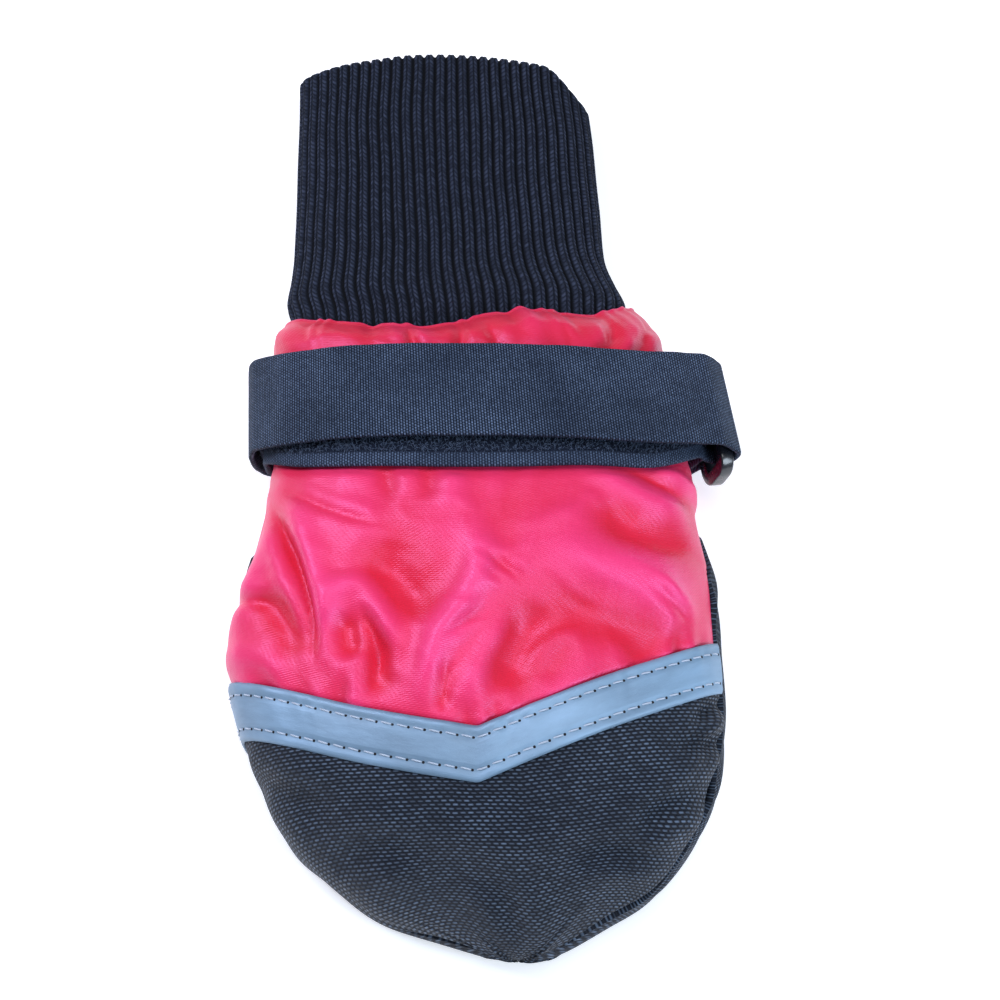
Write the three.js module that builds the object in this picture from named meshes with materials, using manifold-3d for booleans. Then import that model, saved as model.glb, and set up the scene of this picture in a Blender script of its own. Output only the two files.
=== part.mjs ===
// A soft dog bootie: a padded nylon paw pocket on a non-slip sole, with a woven toe cap, a reflective
// chevron tape, a rib-knit leg cuff, and a hook-and-loop strap that turns back through a plastic ring.
// It lies empty on its sole, with the slack ankle and cuff laid straight back along the floor.
//
// Millimetres. +Z is up, +Y runs from the toe back to the cuff, and +X is the side with the ring.
// The origin is on the floor under the middle of the sole.
//
// One function, lastPoint(), holds the shape of the last. Every sewn piece is cut from it: a piece is
// the space between two copies of the last, one grown and one shrunk by a given distance.

import * as THREE from "three";
import { mergeVertices } from "three/addons/utils/BufferGeometryUtils.js";
import Module from "manifold-3d";

const wasm = await Module();
wasm.setup();

// ---------------------------------------------------------------- driving dimensions

const GAP = 0.3; // clearance kept between two pieces that touch
const BALL_Y = 15; // station of the widest part of the paw pocket
const BALL_HALF = 49.8; // half of the ball width
const TOE_LENGTH = 59.8; // from the ball to the tip of the toe
const TOE_TIP_Y = BALL_Y - TOE_LENGTH;
const SPRING_START = 0.35; // share of the toe's length behind which the sole lies flat
const COLLAR_Y = 92; // where the nylon ends and the cuff comes out

const UPPER_WALL = 1.6; // nylon shell and lining
const CAP_THICKNESS = 1.0; // woven toe cap, laid over the upper
const SOLE_THICKNESS = 2.2;
const SOLE_PROUD = GAP + CAP_THICKNESS; // the sole stands out as far as the toe cap
const TAPE_THICKNESS = 0.5;
const TAPE_WIDTH = 10.8; // measured along Y
const TAPE_ABOVE_SEAM = 1;
const CAP_SHORTFALL = 1; // the toe cap ends this far ahead of the tape's rear edge
const CUFF_WALL = 2.6; // rib knit, folded double
const STRAP_WIDTH = 21.4;
const STRAP_THICKNESS = 1.4;

// Sections of the last from toe to collar. centre, half: middle and half width in X. crown, under:
// highest and lowest Z. side: height of the widest line. The rows ahead of the ball hold the full
// size, and the toe's ellipse rounds them off towards the tip.
const LAST = [
  { y: -46, centre: 7.6, half: 50.2, crown: 33.0, under: 1.3, side: 8.5 },
  { y: -30, centre: 3.2, half: 50.2, crown: 33.0, under: 1.3, side: 10.0 },
  { y: -15, centre: 2.0, half: 50.2, crown: 33.0, under: 1.3, side: 10.8 },
  { y: 0, centre: 0.6, half: 49.6, crown: 33.0, under: 1.3, side: 11.5 },
  { y: 15, centre: -1.2, half: BALL_HALF, crown: 33.0, under: 1.3, side: 12.0 },
  { y: 30, centre: -1.0, half: 49.1, crown: 34.0, under: 1.3, side: 12.0 },
  { y: 45, centre: -0.3, half: 45.8, crown: 33.5, under: 1.3, side: 12.0 },
  { y: 60, centre: 0.0, half: 44.6, crown: 32.0, under: 2.0, side: 12.5 },
  { y: 75, centre: -1.4, half: 43.2, crown: 31.0, under: 2.0, side: 12.5 },
  { y: 85, centre: -3.2, half: 42.2, crown: 30.0, under: 2.0, side: 12.5 },
  { y: 89, centre: -4.2, half: 41.0, crown: 28.0, under: 2.1, side: 12.5 },
  { y: 92, centre: -4.8, half: 39.0, crown: 24.6, under: 2.4, side: 12.5 },
];
const LAST_TOP_POWER = 2.3; // superellipse powers of the rounded top and of the flatter underside
const LAST_UNDER_POWER = 4;
const FLAT_SHARE = 0.92; // the underside is cut flat at this share of its depth

// Sections of the slack cuff. Its first rows are tucked inside the collar.
const CUFF = [
  { y: 81, centre: -3.6, half: 35.6, crown: 21.0, under: 4.6, side: 12.6 },
  { y: 88, centre: -4.4, half: 36.6, crown: 22.2, under: 4.6, side: 12.4 },
  { y: 93, centre: -4.9, half: 36.9, crown: 22.4, under: 4.4, side: 12.0 },
  { y: 98, centre: -5.6, half: 37.6, crown: 22.4, under: 1.6, side: 10.4 },
  { y: 104, centre: -6.4, half: 36.2, crown: 21.2, under: 0.2, side: 9.4 },
  { y: 112, centre: -7.0, half: 34.9, crown: 19.6, under: 0.0, side: 8.8 },
  { y: 130, centre: -7.8, half: 34.7, crown: 17.6, under: 0.0, side: 8.2 },
  { y: 162, centre: -9.0, half: 34.2, crown: 15.8, under: 0.0, side: 7.6 },
];
const CUFF_POWER = 2.4;
const CUFF_RIM_START_Y = 104; // the rim's droop is spread from here to the end of the cuff
const CUFF_SIDE_DROOP = 3.4; // how far the rim falls back at both sides
const CUFF_CORNER_DROOP = 8.5; // and further at the rolled corner on the +X side
const CUFF_CORNER_START = 0.5; // share of the half width where that corner begins

// The side seam lies on a tilted plane: low at the toe, and high on the +X side, where the sole
// shows beside the nylon.
const SEAM_HEIGHT = 10.4; // above the origin
const SEAM_TILT_X = 0.1;
const SEAM_TILT_Y = 0.06;
const HEEL_RIGHT_Y = 46; // the sole's rear edge at its +X and -X corners
const HEEL_LEFT_Y = 42;
const HEEL_BOW = 9; // and how far its middle bows back

// The lower edge of the chevron tape, as corners in plan. The tape and the toe cap follow it.
const CHEVRON = [
  { x: -70, y: 4.0 },
  { x: -50, y: -2.6 },
  { x: -37, y: -7.0 },
  { x: -24, y: -11.0 },
  { x: -12, y: -13.5 },
  { x: 0, y: -15.4 },
  { x: 12, y: -10.3 },
  { x: 25, y: -4.8 },
  { x: 40, y: 1.4 },
  { x: 50, y: 6.4 },
  { x: 70, y: 16.5 },
];

// The strap folds back round the ring's outer bar. In turn and lift that fold is half an ellipse.
const RING_Y = 67.4;
const FOLD_ROWS = 6;
const FOLD_TURN = 14; // degrees at the fold's two ends
const FOLD_REACH = 8.5; // how much further round its middle lies
const FOLD_LIFT = 6.8; // height of its middle over the nylon
const FOLD_RISE = 3.8; // from its middle up or down to its ends
const STRAP_FOLD = Array.from({ length: FOLD_ROWS }, (_, i) => {
  const round = (Math.PI * i) / (FOLD_ROWS - 1);
  const turn = FOLD_TURN - FOLD_REACH * Math.sin(round);
  return { turn, lift: FOLD_LIFT - FOLD_RISE * Math.cos(round), y: RING_Y };
});

// The strap's middle line, wound round the ankle. turn: degrees round the section, 0 at +X and 90 on
// top. lift: height over the nylon. y: station. It starts sewn down under the ankle, goes round the
// -X side and over the front, dives under the ring's outer bar, folds back and goes round again.
const STRAP_ROUTE = [
  { turn: 271, lift: 1.1, y: 72 },
  { turn: 262, lift: 1.1, y: 72 },
  { turn: 235, lift: 1.1, y: 71 },
  { turn: 200, lift: 1.3, y: 70 },
  { turn: 172, lift: 1.3, y: 68 },
  { turn: 140, lift: 1.2, y: 63 },
  { turn: 112, lift: 1.2, y: 60.8 },
  { turn: 88, lift: 1.2, y: 60 },
  { turn: 64, lift: 1.2, y: 61.2 },
  { turn: 42, lift: 1.5, y: 62.5 },
  ...STRAP_FOLD,
  { turn: 24, lift: 9.7, y: 67 },
  { turn: 33, lift: 7.5, y: 66.8 },
  { turn: 50, lift: 5.2, y: 66 },
  { turn: 70, lift: 4.0, y: 65.8 },
  { turn: 90, lift: 3.8, y: 65.8 },
  { turn: 112, lift: 3.8, y: 66.3 },
  { turn: 140, lift: 3.9, y: 67.3 },
  { turn: 166, lift: 4.2, y: 69.4 },
  { turn: 190, lift: 3.5, y: 70.7 },
  { turn: 212, lift: 2.9, y: 71.2 },
];
const TOE_SIDE_FLARE = 0.5; // the outer turn's edges stand off by this much more
const CUFF_SIDE_FLARE = 1.1;
const FLARE_START = 0.5; // shares of the strap's length over which the flare grows
const FLARE_FULL = 0.62;
const STRAP_STEPS = 130;

// The ring stands at the ankle's +X side. Its inner bar is held by the tab, and the strap turns round
// the outer bar.
const RING_WIRE = 3.0;
const RING_SLOT_LENGTH = 23;
const RING_PITCH = 9.2; // between the middles of the two long bars
const RING_CORNER = 2.6;
const RING_INNER_BAR = { x: 47.6, z: 10.6 };
const RING_LEAN = 14; // degrees that the ring leans out from upright
const RING_BEVEL = 0.7;

const TAB_WIDTH = 17;
const TAB_THICKNESS = 1.3;

const COLORS = { red: 0xe8405f, cap: 0x2b3547, knit: 0x1c222e, strap: 0x323d50, sole: 0x20242c };
const SILVER = 0x8ea6bf;
const PLASTIC = 0x15181d;

const AROUND = 44; // steps round a section
const TOE_STEPS = 9;

// ---------------------------------------------------------------- the last

// A smooth curve through the rows of a table: returns a function that gives a row at any y.
function sections(rows) {
  const columns = Object.keys(rows[0]).filter((name) => name !== "y");
  const samples = rows.flatMap((row) => columns.map((name) => row[name]));
  const curve = new THREE.CubicInterpolant(
    rows.map((row) => row.y),
    samples,
    columns.length,
  );
  return (y) => {
    const values = curve.evaluate(y);
    return Object.fromEntries(columns.map((name, i) => [name, values[i]]));
  };
}

const lastRow = sections(LAST);
const cuffRow = sections(CUFF);

const signedPower = (value, power) => Math.sign(value) * Math.abs(value) ** power;

// Point of a superellipse with different powers above and below its widest line.
function sectionPoint(turn, row, topPower, underPower) {
  const cos = Math.cos(turn);
  const sin = Math.sin(turn);
  const power = 2 / (sin >= 0 ? topPower : underPower);
  const depth = sin >= 0 ? row.crown - row.side : (row.side - row.under) / FLAT_SHARE;
  return {
    x: row.centre + row.half * signedPower(cos, power),
    z: Math.max(row.side + depth * signedPower(sin, power), row.under),
  };
}

// The last at a station, grown by "out". Ahead of the ball the sections shrink along an ellipse, so
// the toe is a quarter of an ellipsoid above the sole and a low toe spring below it.
function grownRow(station, out) {
  const y = Math.min(station, COLLAR_Y);
  const row = lastRow(Math.max(y, TOE_TIP_Y));
  const under = Math.max(row.under, SOLE_PROUD); // the sole stays on the floor between rows
  const ahead = THREE.MathUtils.clamp((BALL_Y - y) / (TOE_LENGTH + out), 0, 1);
  const round = Math.sqrt(1 - ahead ** 2);
  const lifted = Math.max(0, (ahead - SPRING_START) / (1 - SPRING_START));
  const spring = (1 - lifted ** 4) ** 0.25;
  return {
    centre: row.centre,
    side: row.side,
    half: (row.half + out) * round,
    crown: row.side + (row.crown + out - row.side) * round,
    under: row.side - (row.side - under + out) * spring,
  };
}

function lastPoint(turn, y, out) {
  const { x, z } = sectionPoint(turn, grownRow(y, out), LAST_TOP_POWER, LAST_UNDER_POWER);
  return new THREE.Vector3(x, y, z);
}

const turns = Array.from({ length: AROUND }, (_, i) => (i / AROUND) * 2 * Math.PI);

// Stations from the toe's tip to the collar. Those on the toe are even steps of the ellipse's angle.
function stations(out, endY) {
  const toe = Array.from({ length: TOE_STEPS }, (_, i) => {
    const angle = ((i + 0.4) / TOE_STEPS) * (Math.PI / 2);
    return BALL_Y - (TOE_LENGTH + out) * Math.cos(angle);
  });
  const body = LAST.filter((row) => row.y >= BALL_Y).flatMap((row, i, rows) =>
    i && row.y - rows[i - 1].y > 9 ? [(row.y + rows[i - 1].y) / 2, row.y] : [row.y],
  );
  return [...toe, ...body.filter((y) => y < endY), endY];
}

// ---------------------------------------------------------------- solids

// A closed mesh through loops of equal length, with a fan at each end.
function loft(loops) {
  const count = loops[0].length;
  const middle = (loop) =>
    loop.reduce((sum, point) => sum.add(point), new THREE.Vector3()).divideScalar(count);
  const points = [...loops.flat(), middle(loops[0]), middle(loops.at(-1))];
  const index = [];
  for (let i = 0; i < loops.length - 1; i++)
    for (let j = 0; j < count; j++) {
      const a = i * count + j;
      const b = i * count + ((j + 1) % count);
      index.push(a, a + count, b, b, a + count, b + count);
    }
  const lastLoop = (loops.length - 1) * count;
  for (let j = 0; j < count; j++) {
    const next = (j + 1) % count;
    index.push(loops.length * count, j, next);
    index.push(loops.length * count + 1, lastLoop + next, lastLoop + j);
  }
  return new THREE.BufferGeometry().setFromPoints(points).setIndex(index);
}

function solidOf(geometry) {
  const bare = geometry.clone();
  bare.deleteAttribute("normal");
  bare.deleteAttribute("uv");
  const merged = mergeVertices(bare, 1e-4);
  const mesh = new wasm.Mesh({
    numProp: 3,
    vertProperties: merged.attributes.position.array,
    triVerts: new Uint32Array(merged.index.array),
  });
  const solid = new wasm.Manifold(mesh);
  if (solid.volume() > 0) return solid;
  mesh.triVerts.reverse();
  return new wasm.Manifold(mesh);
}

function geometryOf(solid) {
  const { vertProperties, triVerts } = solid.getMesh();
  const geometry = new THREE.BufferGeometry();
  geometry.setAttribute("position", new THREE.BufferAttribute(vertProperties, 3));
  geometry.setIndex(new THREE.BufferAttribute(triVerts, 1));
  geometry.computeVertexNormals();
  return geometry;
}

// The whole last as a solid, grown by "out", from the toe to endY.
function lastSolid(out, endY = COLLAR_Y) {
  return solidOf(loft(stations(out, endY).map((y) => turns.map((turn) => lastPoint(turn, y, out)))));
}

// The wall between two copies of the last. The inner copy runs on past the collar and opens it.
function lastWall(outside, inside) {
  return lastSolid(outside).subtract(lastSolid(inside, COLLAR_Y + RUN_ON));
}

// The cutters run well past the pieces in X, Y and Z.
const PLAN_REACH = 80;
const CUTTER_TOP = 60;
const RUN_ON = 5;

const seamHeight = (x, y, lift) => SEAM_HEIGHT + lift + SEAM_TILT_X * x + SEAM_TILT_Y * y;

// Everything below the side seam and ahead of the heel's bowed rear edge, grown by "lift".
function soleZone(lift) {
  const plan = new THREE.Shape();
  plan.moveTo(-PLAN_REACH, -PLAN_REACH);
  plan.lineTo(PLAN_REACH, -PLAN_REACH);
  plan.lineTo(PLAN_REACH, HEEL_RIGHT_Y + lift);
  plan.lineTo(BALL_HALF, HEEL_RIGHT_Y + lift);
  const bow = HEEL_RIGHT_Y + 2 * HEEL_BOW + lift;
  plan.quadraticCurveTo(0, bow, -BALL_HALF, HEEL_LEFT_Y + lift);
  plan.lineTo(-PLAN_REACH, HEEL_LEFT_Y + lift);
  const zone = new THREE.ExtrudeGeometry(plan, { depth: 1, bevelEnabled: false, curveSegments: 14 });
  const position = zone.attributes.position;
  for (let i = 0; i < position.count; i++) {
    const seam = seamHeight(position.getX(i), position.getY(i), lift);
    position.setZ(i, position.getZ(i) > 0.5 ? seam : -CUTTER_TOP);
  }
  return solidOf(zone);
}

// Everything ahead of the chevron's lower edge, moved back along Y by "back".
function aheadOfChevron(back) {
  const plan = new THREE.Shape();
  plan.moveTo(-70, -PLAN_REACH);
  plan.lineTo(70, -PLAN_REACH);
  for (const corner of CHEVRON.toReversed()) plan.lineTo(corner.x, corner.y + back);
  const zone = new THREE.ExtrudeGeometry(plan, { depth: CUTTER_TOP, bevelEnabled: false });
  return solidOf(zone);
}

// ---------------------------------------------------------------- the sewn pieces

function upper() {
  return geometryOf(lastWall(0, -UPPER_WALL).subtract(soleZone(GAP)));
}

function sole() {
  return geometryOf(lastWall(SOLE_PROUD, SOLE_PROUD - SOLE_THICKNESS).intersect(soleZone(0)));
}

function toeCap() {
  const wall = lastWall(GAP + CAP_THICKNESS, GAP);
  return geometryOf(wall.subtract(soleZone(GAP)).intersect(aheadOfChevron(TAPE_WIDTH - CAP_SHORTFALL)));
}

function reflectiveTape() {
  const under = 2 * GAP + CAP_THICKNESS;
  const band = aheadOfChevron(TAPE_WIDTH).subtract(aheadOfChevron(0));
  const wall = lastWall(under + TAPE_THICKNESS, under);
  return geometryOf(wall.subtract(soleZone(GAP + TAPE_ABOVE_SEAM)).intersect(band));
}

// How far the cuff's rim falls back from its highest point, at a place across its width.
function rimDroop(across) {
  const corner = THREE.MathUtils.smoothstep(across, CUFF_CORNER_START, 1.1);
  return CUFF_SIDE_DROOP * across ** 2 + CUFF_CORNER_DROOP * corner;
}

function cuffLoop(station, inset, run) {
  const row = cuffRow(Math.min(station, CUFF.at(-1).y));
  const rimY = CUFF.at(-1).y;
  const share = Math.max(0, (station - CUFF_RIM_START_Y) / (rimY - CUFF_RIM_START_Y));
  const grown = {
    ...row,
    half: row.half - inset,
    crown: row.crown - inset,
    under: Math.max(row.under, 0) + inset,
  };
  return turns.map((turn) => {
    const { x, z } = sectionPoint(turn, grown, CUFF_POWER, CUFF_POWER + 0.6);
    const across = (x - row.centre) / row.half;
    return new THREE.Vector3(x, station + run - rimDroop(across) * Math.min(share, 1), z);
  });
}

// A tube of rib knit, open at both ends, with its rim cut to the rolled-over outline.
function cuff() {
  const ys = CUFF.slice(0, -1).flatMap((row, i) => {
    const next = CUFF[i + 1].y;
    return next - row.y > 9 ? [row.y, (row.y + next) / 2] : [row.y];
  });
  const rimY = CUFF.at(-1).y;
  const outside = [...ys, rimY].map((y) => cuffLoop(y, 0, 0));
  const inside = [
    cuffLoop(CUFF[0].y, CUFF_WALL, -RUN_ON),
    ...[...ys, rimY].map((y) => cuffLoop(y, CUFF_WALL, 0)),
    cuffLoop(rimY, CUFF_WALL, RUN_ON),
  ];
  return geometryOf(solidOf(loft(outside)).subtract(solidOf(loft(inside))));
}

// ---------------------------------------------------------------- strap, ring and tab

// One edge of the strap: a flat ribbon of points in the section's plane, with the strap's thickness
// laid off to both sides of its middle line.
function strapEdge(middles, side) {
  const line = middles.map(({ x: turn, y: lift, z: y }, i) => {
    const outerTurn = THREE.MathUtils.smoothstep(i / STRAP_STEPS, FLARE_START, FLARE_FULL);
    const flare = (side < 0 ? TOE_SIDE_FLARE : CUFF_SIDE_FLARE) * outerTurn;
    return lastPoint(THREE.MathUtils.degToRad(turn), y + (side * STRAP_WIDTH) / 2, lift + flare);
  });
  return line.map((point, i) => {
    const before = line[Math.max(i - 1, 0)];
    const after = line[Math.min(i + 1, line.length - 1)];
    const along = new THREE.Vector2(after.x - before.x, after.z - before.z).normalize();
    const shift = (amount) =>
      new THREE.Vector3(point.x - along.y * amount, point.y, point.z + along.x * amount);
    return [shift(STRAP_THICKNESS / 2), shift(-STRAP_THICKNESS / 2)];
  });
}

function strap() {
  const curve = new THREE.CatmullRomCurve3(
    STRAP_ROUTE.map(({ turn, lift, y }) => new THREE.Vector3(turn, lift, y)),
    false,
    "centripetal",
  );
  const middles = curve.getPoints(STRAP_STEPS);
  const toeSide = strapEdge(middles, -1);
  const cuffSide = strapEdge(middles, 1);
  return loft(toeSide.map(([a, b], i) => [b, a, cuffSide[i][0], cuffSide[i][1]]));
}

function roundedRectangle(target, halfLength, halfWidth, corner) {
  target.moveTo(-halfLength + corner, -halfWidth);
  target.lineTo(halfLength - corner, -halfWidth);
  target.absarc(halfLength - corner, -halfWidth + corner, corner, -Math.PI / 2, 0, false);
  target.absarc(halfLength - corner, halfWidth - corner, corner, 0, Math.PI / 2, false);
  target.absarc(-halfLength + corner, halfWidth - corner, corner, Math.PI / 2, Math.PI, false);
  target.absarc(-halfLength + corner, -halfWidth + corner, corner, Math.PI, 1.5 * Math.PI, false);
  return target;
}

// The ring lies in its own XY plane, with its long side along X and the middle of its slot at 0.
function strapRing() {
  const slotHalf = (RING_PITCH - RING_WIRE) / 2;
  const outline = roundedRectangle(
    new THREE.Shape(),
    RING_SLOT_LENGTH / 2 + RING_WIRE,
    slotHalf + RING_WIRE,
    RING_CORNER + 1,
  );
  outline.holes.push(
    roundedRectangle(new THREE.Path(), RING_SLOT_LENGTH / 2, slotHalf, RING_CORNER - 1),
  );
  const ring = new THREE.ExtrudeGeometry(outline, {
    depth: RING_WIRE - 2 * RING_BEVEL,
    bevelThickness: RING_BEVEL,
    bevelSize: RING_BEVEL,
    bevelOffset: -RING_BEVEL,
    bevelSegments: 2,
    curveSegments: 4,
  });
  return ring.translate(0, 0, RING_BEVEL - RING_WIRE / 2);
}

// The tab's middle line as seen along the ring's bars, measured from the inner bar: out: away from the
// ankle. up: above the bar. It is sewn down under the ankle and comes up to the eye round the bar.
const TAB_ROUTE = [
  { out: -30, up: -9.7 },
  { out: -20, up: -9.7 },
  { out: -14, up: -9.4 },
  { out: -8, up: -7.6 },
  { out: -4.2, up: -5.0 },
  { out: -1.3, up: -2.3 },
];

// A flat strip of the tab's thickness with an eye at its end, in the XY plane, from 0 to TAB_WIDTH.
function ringTab() {
  const eye = 0.6 * RING_WIRE + GAP; // clears the corners of the bar
  const line = new THREE.SplineCurve(TAB_ROUTE.map(({ out, up }) => new THREE.Vector2(out, up)));
  const steps = 14;
  const side = (sign) =>
    Array.from({ length: steps + 1 }, (_, i) => {
      const along = line.getTangent(i / steps);
      const beside = new THREE.Vector2(-along.y, along.x).multiplyScalar((sign * TAB_THICKNESS) / 2);
      return line.getPoint(i / steps).add(beside);
    });
  const disc = (radius) => new THREE.Shape().absarc(0, 0, radius, 0, 2 * Math.PI, false);
  const slab = (shape) =>
    solidOf(
      new THREE.ExtrudeGeometry(shape, { depth: TAB_WIDTH, bevelEnabled: false, curveSegments: 18 }),
    );
  const strip = slab(new THREE.Shape([...side(-1), ...side(1).toReversed()]));
  return geometryOf(strip.add(slab(disc(eye + TAB_THICKNESS))).subtract(slab(disc(eye))));
}

// ---------------------------------------------------------------- the assembly

function piece(name, geometry, color, roughness) {
  const material = new THREE.MeshStandardMaterial({ color, roughness, metalness: 0 });
  const mesh = new THREE.Mesh(geometry, material);
  mesh.name = name;
  return mesh;
}

// The ring's bars run along the ankle's side, which narrows towards the cuff.
function barDirection() {
  const toeEnd = lastPoint(0, RING_Y - STRAP_WIDTH / 2, 0);
  return lastPoint(0, RING_Y + STRAP_WIDTH / 2, 0).sub(toeEnd).normalize();
}

// The ring's length is laid along the bars, and its plane leans out from upright.
function placeRing(ring) {
  const bars = barDirection();
  const out = bars.clone().cross(new THREE.Vector3(0, 0, 1)).normalize();
  const lean = THREE.MathUtils.degToRad(RING_LEAN);
  const up = new THREE.Vector3(0, 0, Math.cos(lean)).addScaledVector(out, Math.sin(lean));
  ring.quaternion.setFromRotationMatrix(
    new THREE.Matrix4().makeBasis(bars, up, bars.clone().cross(up)),
  );
  ring.position
    .set(RING_INNER_BAR.x, RING_Y, RING_INNER_BAR.z)
    .addScaledVector(up, RING_PITCH / 2);
  return ring;
}

// The tab is drawn across the bars: its X points out, its Y up and its width runs against the bars.
function placeTab(tab) {
  const bars = barDirection();
  const up = new THREE.Vector3(0, 0, 1);
  const out = bars.clone().cross(up).normalize();
  tab.quaternion.setFromRotationMatrix(
    new THREE.Matrix4().makeBasis(out, up, out.clone().cross(up)),
  );
  tab.position
    .set(RING_INNER_BAR.x, RING_Y, RING_INNER_BAR.z)
    .addScaledVector(out.clone().cross(up), -TAB_WIDTH / 2);
  return tab;
}

const bootie = new THREE.Group();
bootie.add(
  piece("upper", upper(), COLORS.red, 0.45),
  piece("sole", sole(), COLORS.sole, 0.85),
  piece("toe_cap", toeCap(), COLORS.cap, 0.7),
  piece("reflective_tape", reflectiveTape(), SILVER, 0.35),
  piece("cuff", cuff(), COLORS.knit, 0.95),
  piece("strap", strap(), COLORS.strap, 0.8),
  placeRing(piece("strap_ring", strapRing(), PLASTIC, 0.35)),
  placeTab(piece("ring_tab", ringTab(), COLORS.strap, 0.8)),
);

export default bootie;
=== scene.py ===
"""A soft dog bootie: gathered nylon paw pocket, woven toe cap and sole, reflective chevron, rib-knit cuff,
and a hook-and-loop strap that turns back through a plastic ring. It stands empty on its sole.

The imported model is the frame. Lengths inside the shape functions are millimetres in the frame's axes:
+Y from toe to cuff, +Z up, +X the side of the ring. They become metres when a mesh is written.
"""

import math

import bmesh
import bpy
import numpy as np
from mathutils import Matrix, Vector


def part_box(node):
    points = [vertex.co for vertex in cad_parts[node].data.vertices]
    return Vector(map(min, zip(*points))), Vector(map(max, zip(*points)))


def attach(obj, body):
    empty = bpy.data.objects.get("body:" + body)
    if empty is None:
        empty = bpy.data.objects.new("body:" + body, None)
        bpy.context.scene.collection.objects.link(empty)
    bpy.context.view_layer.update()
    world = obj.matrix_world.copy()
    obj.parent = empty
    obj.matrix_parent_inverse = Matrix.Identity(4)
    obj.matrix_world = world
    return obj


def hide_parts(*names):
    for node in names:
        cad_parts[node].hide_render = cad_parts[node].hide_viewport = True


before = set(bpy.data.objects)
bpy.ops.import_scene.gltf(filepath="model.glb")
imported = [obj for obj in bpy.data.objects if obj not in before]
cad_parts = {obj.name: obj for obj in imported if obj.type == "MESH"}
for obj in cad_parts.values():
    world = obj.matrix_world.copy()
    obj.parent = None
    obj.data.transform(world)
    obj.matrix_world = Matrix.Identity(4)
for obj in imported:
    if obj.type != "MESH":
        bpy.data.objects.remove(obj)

bl_info = {
    "name": "Dog bootie",
    "version": (1, 0, 0),
    "blender": (4, 5, 0),
    "location": "3D View > Sidebar > Bootie",
    "description": "Builds a soft dog bootie on its packed frame",
    "category": "Object",
}

MM = 0.001
CLOTH_UV = "cloth"  # the UV map that holds millimetres along the cloth
RELIEF_UV = "relief"  # and the one that holds the height of its folds, which the nylon's colour reads to paint shade in the hollows and highlight on the crowns
ROOT = "root"


def box_mm(node):
    """Lowest and highest corner of a CAD node, in millimetres."""
    low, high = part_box(node)
    return np.array(low) / MM, np.array(high) / MM


# ---------------------------------------------------------------- sizes taken from the frame

UPPER_LOW, UPPER_HIGH = box_mm("upper")
BALL_Y = 15.0
UPPER_HALF = (UPPER_HIGH[0] - UPPER_LOW[0]) / 2
TOE_LENGTH = 59.8
COLLAR_Y = UPPER_HIGH[1]
CAP_OUT = 1.3  # outer face of the toe cap and the sole, over the last
TAPE_OUT = 1.9
SPRING_START = 0.35
LINING_OUT = -2.9  # the lining lies this far inside the last
QUILT_PITCH = 9.0
QUILT_DEPTH = 0.25
POCKET_INNER_OUT = -2.5
RING_CORNER = 2.6

# The last, a row for each section: station, middle, half width as a share of the upper's, highest
# and lowest Z, and the height of the widest line.
LAST = np.array(
    [
        (-46, 7.6, 1.011, 33.0, 1.3, 8.5),
        (-30, 3.2, 1.011, 33.0, 1.3, 10.0),
        (-15, 2.0, 1.011, 33.0, 1.3, 10.8),
        (0, 0.6, 0.999, 33.0, 1.3, 11.5),
        (15, -1.2, 1.003, 33.0, 1.3, 12.0),
        (30, -1.0, 0.989, 34.0, 1.3, 12.0),
        (45, -0.3, 0.922, 33.5, 1.3, 12.0),
        (60, 0.0, 0.898, 32.0, 2.0, 12.5),
        (75, -1.4, 0.870, 31.0, 2.0, 12.5),
        (85, -3.2, 0.850, 30.0, 2.0, 12.5),
        (89, -4.2, 0.826, 28.0, 2.1, 12.5),
        (92, -4.8, 0.785, 24.6, 2.4, 12.5),
    ]
)
LAST_POWERS = (2.3, 4.0)

# The slack cuff, with half widths in millimetres.
CUFF = np.array(
    [
        (81, -3.6, 35.6, 21.0, 4.6, 12.6),
        (88, -4.4, 36.6, 22.2, 4.6, 12.4),
        (93, -4.9, 36.9, 22.4, 4.4, 12.0),
        (98, -5.6, 37.6, 22.4, 1.6, 10.4),
        (104, -6.4, 36.2, 21.2, 0.2, 9.4),
        (112, -7.0, 34.9, 19.6, 0.0, 8.8),
        (130, -7.8, 34.7, 17.6, 0.0, 8.2),
        (162, -9.0, 34.2, 15.8, 0.0, 7.6),
    ]
)
CUFF_POWERS = (2.4, 3.0)
CUFF_WALL = 2.6
CUFF_RIM_START = 104.0
FLAT_SHARE = 0.92

# The strap folds back round the ring's outer bar. In turn and lift that fold is half an ellipse.
RING_Y = 68.3
FOLD_ROWS = 6
FOLD_TURN, FOLD_REACH = 14.0, 8.5  # degrees at the fold's ends, and further round at its middle
FOLD_LIFT, FOLD_RISE = 6.8, 3.8  # height of its middle, and from there up or down to its ends
FOLD_ROUND = np.linspace(0, math.pi, FOLD_ROWS)
STRAP_FOLD = np.column_stack(
    [
        FOLD_TURN - FOLD_REACH * np.sin(FOLD_ROUND),
        FOLD_LIFT - FOLD_RISE * np.cos(FOLD_ROUND),
        np.full(FOLD_ROWS, RING_Y),
    ]
)

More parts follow.
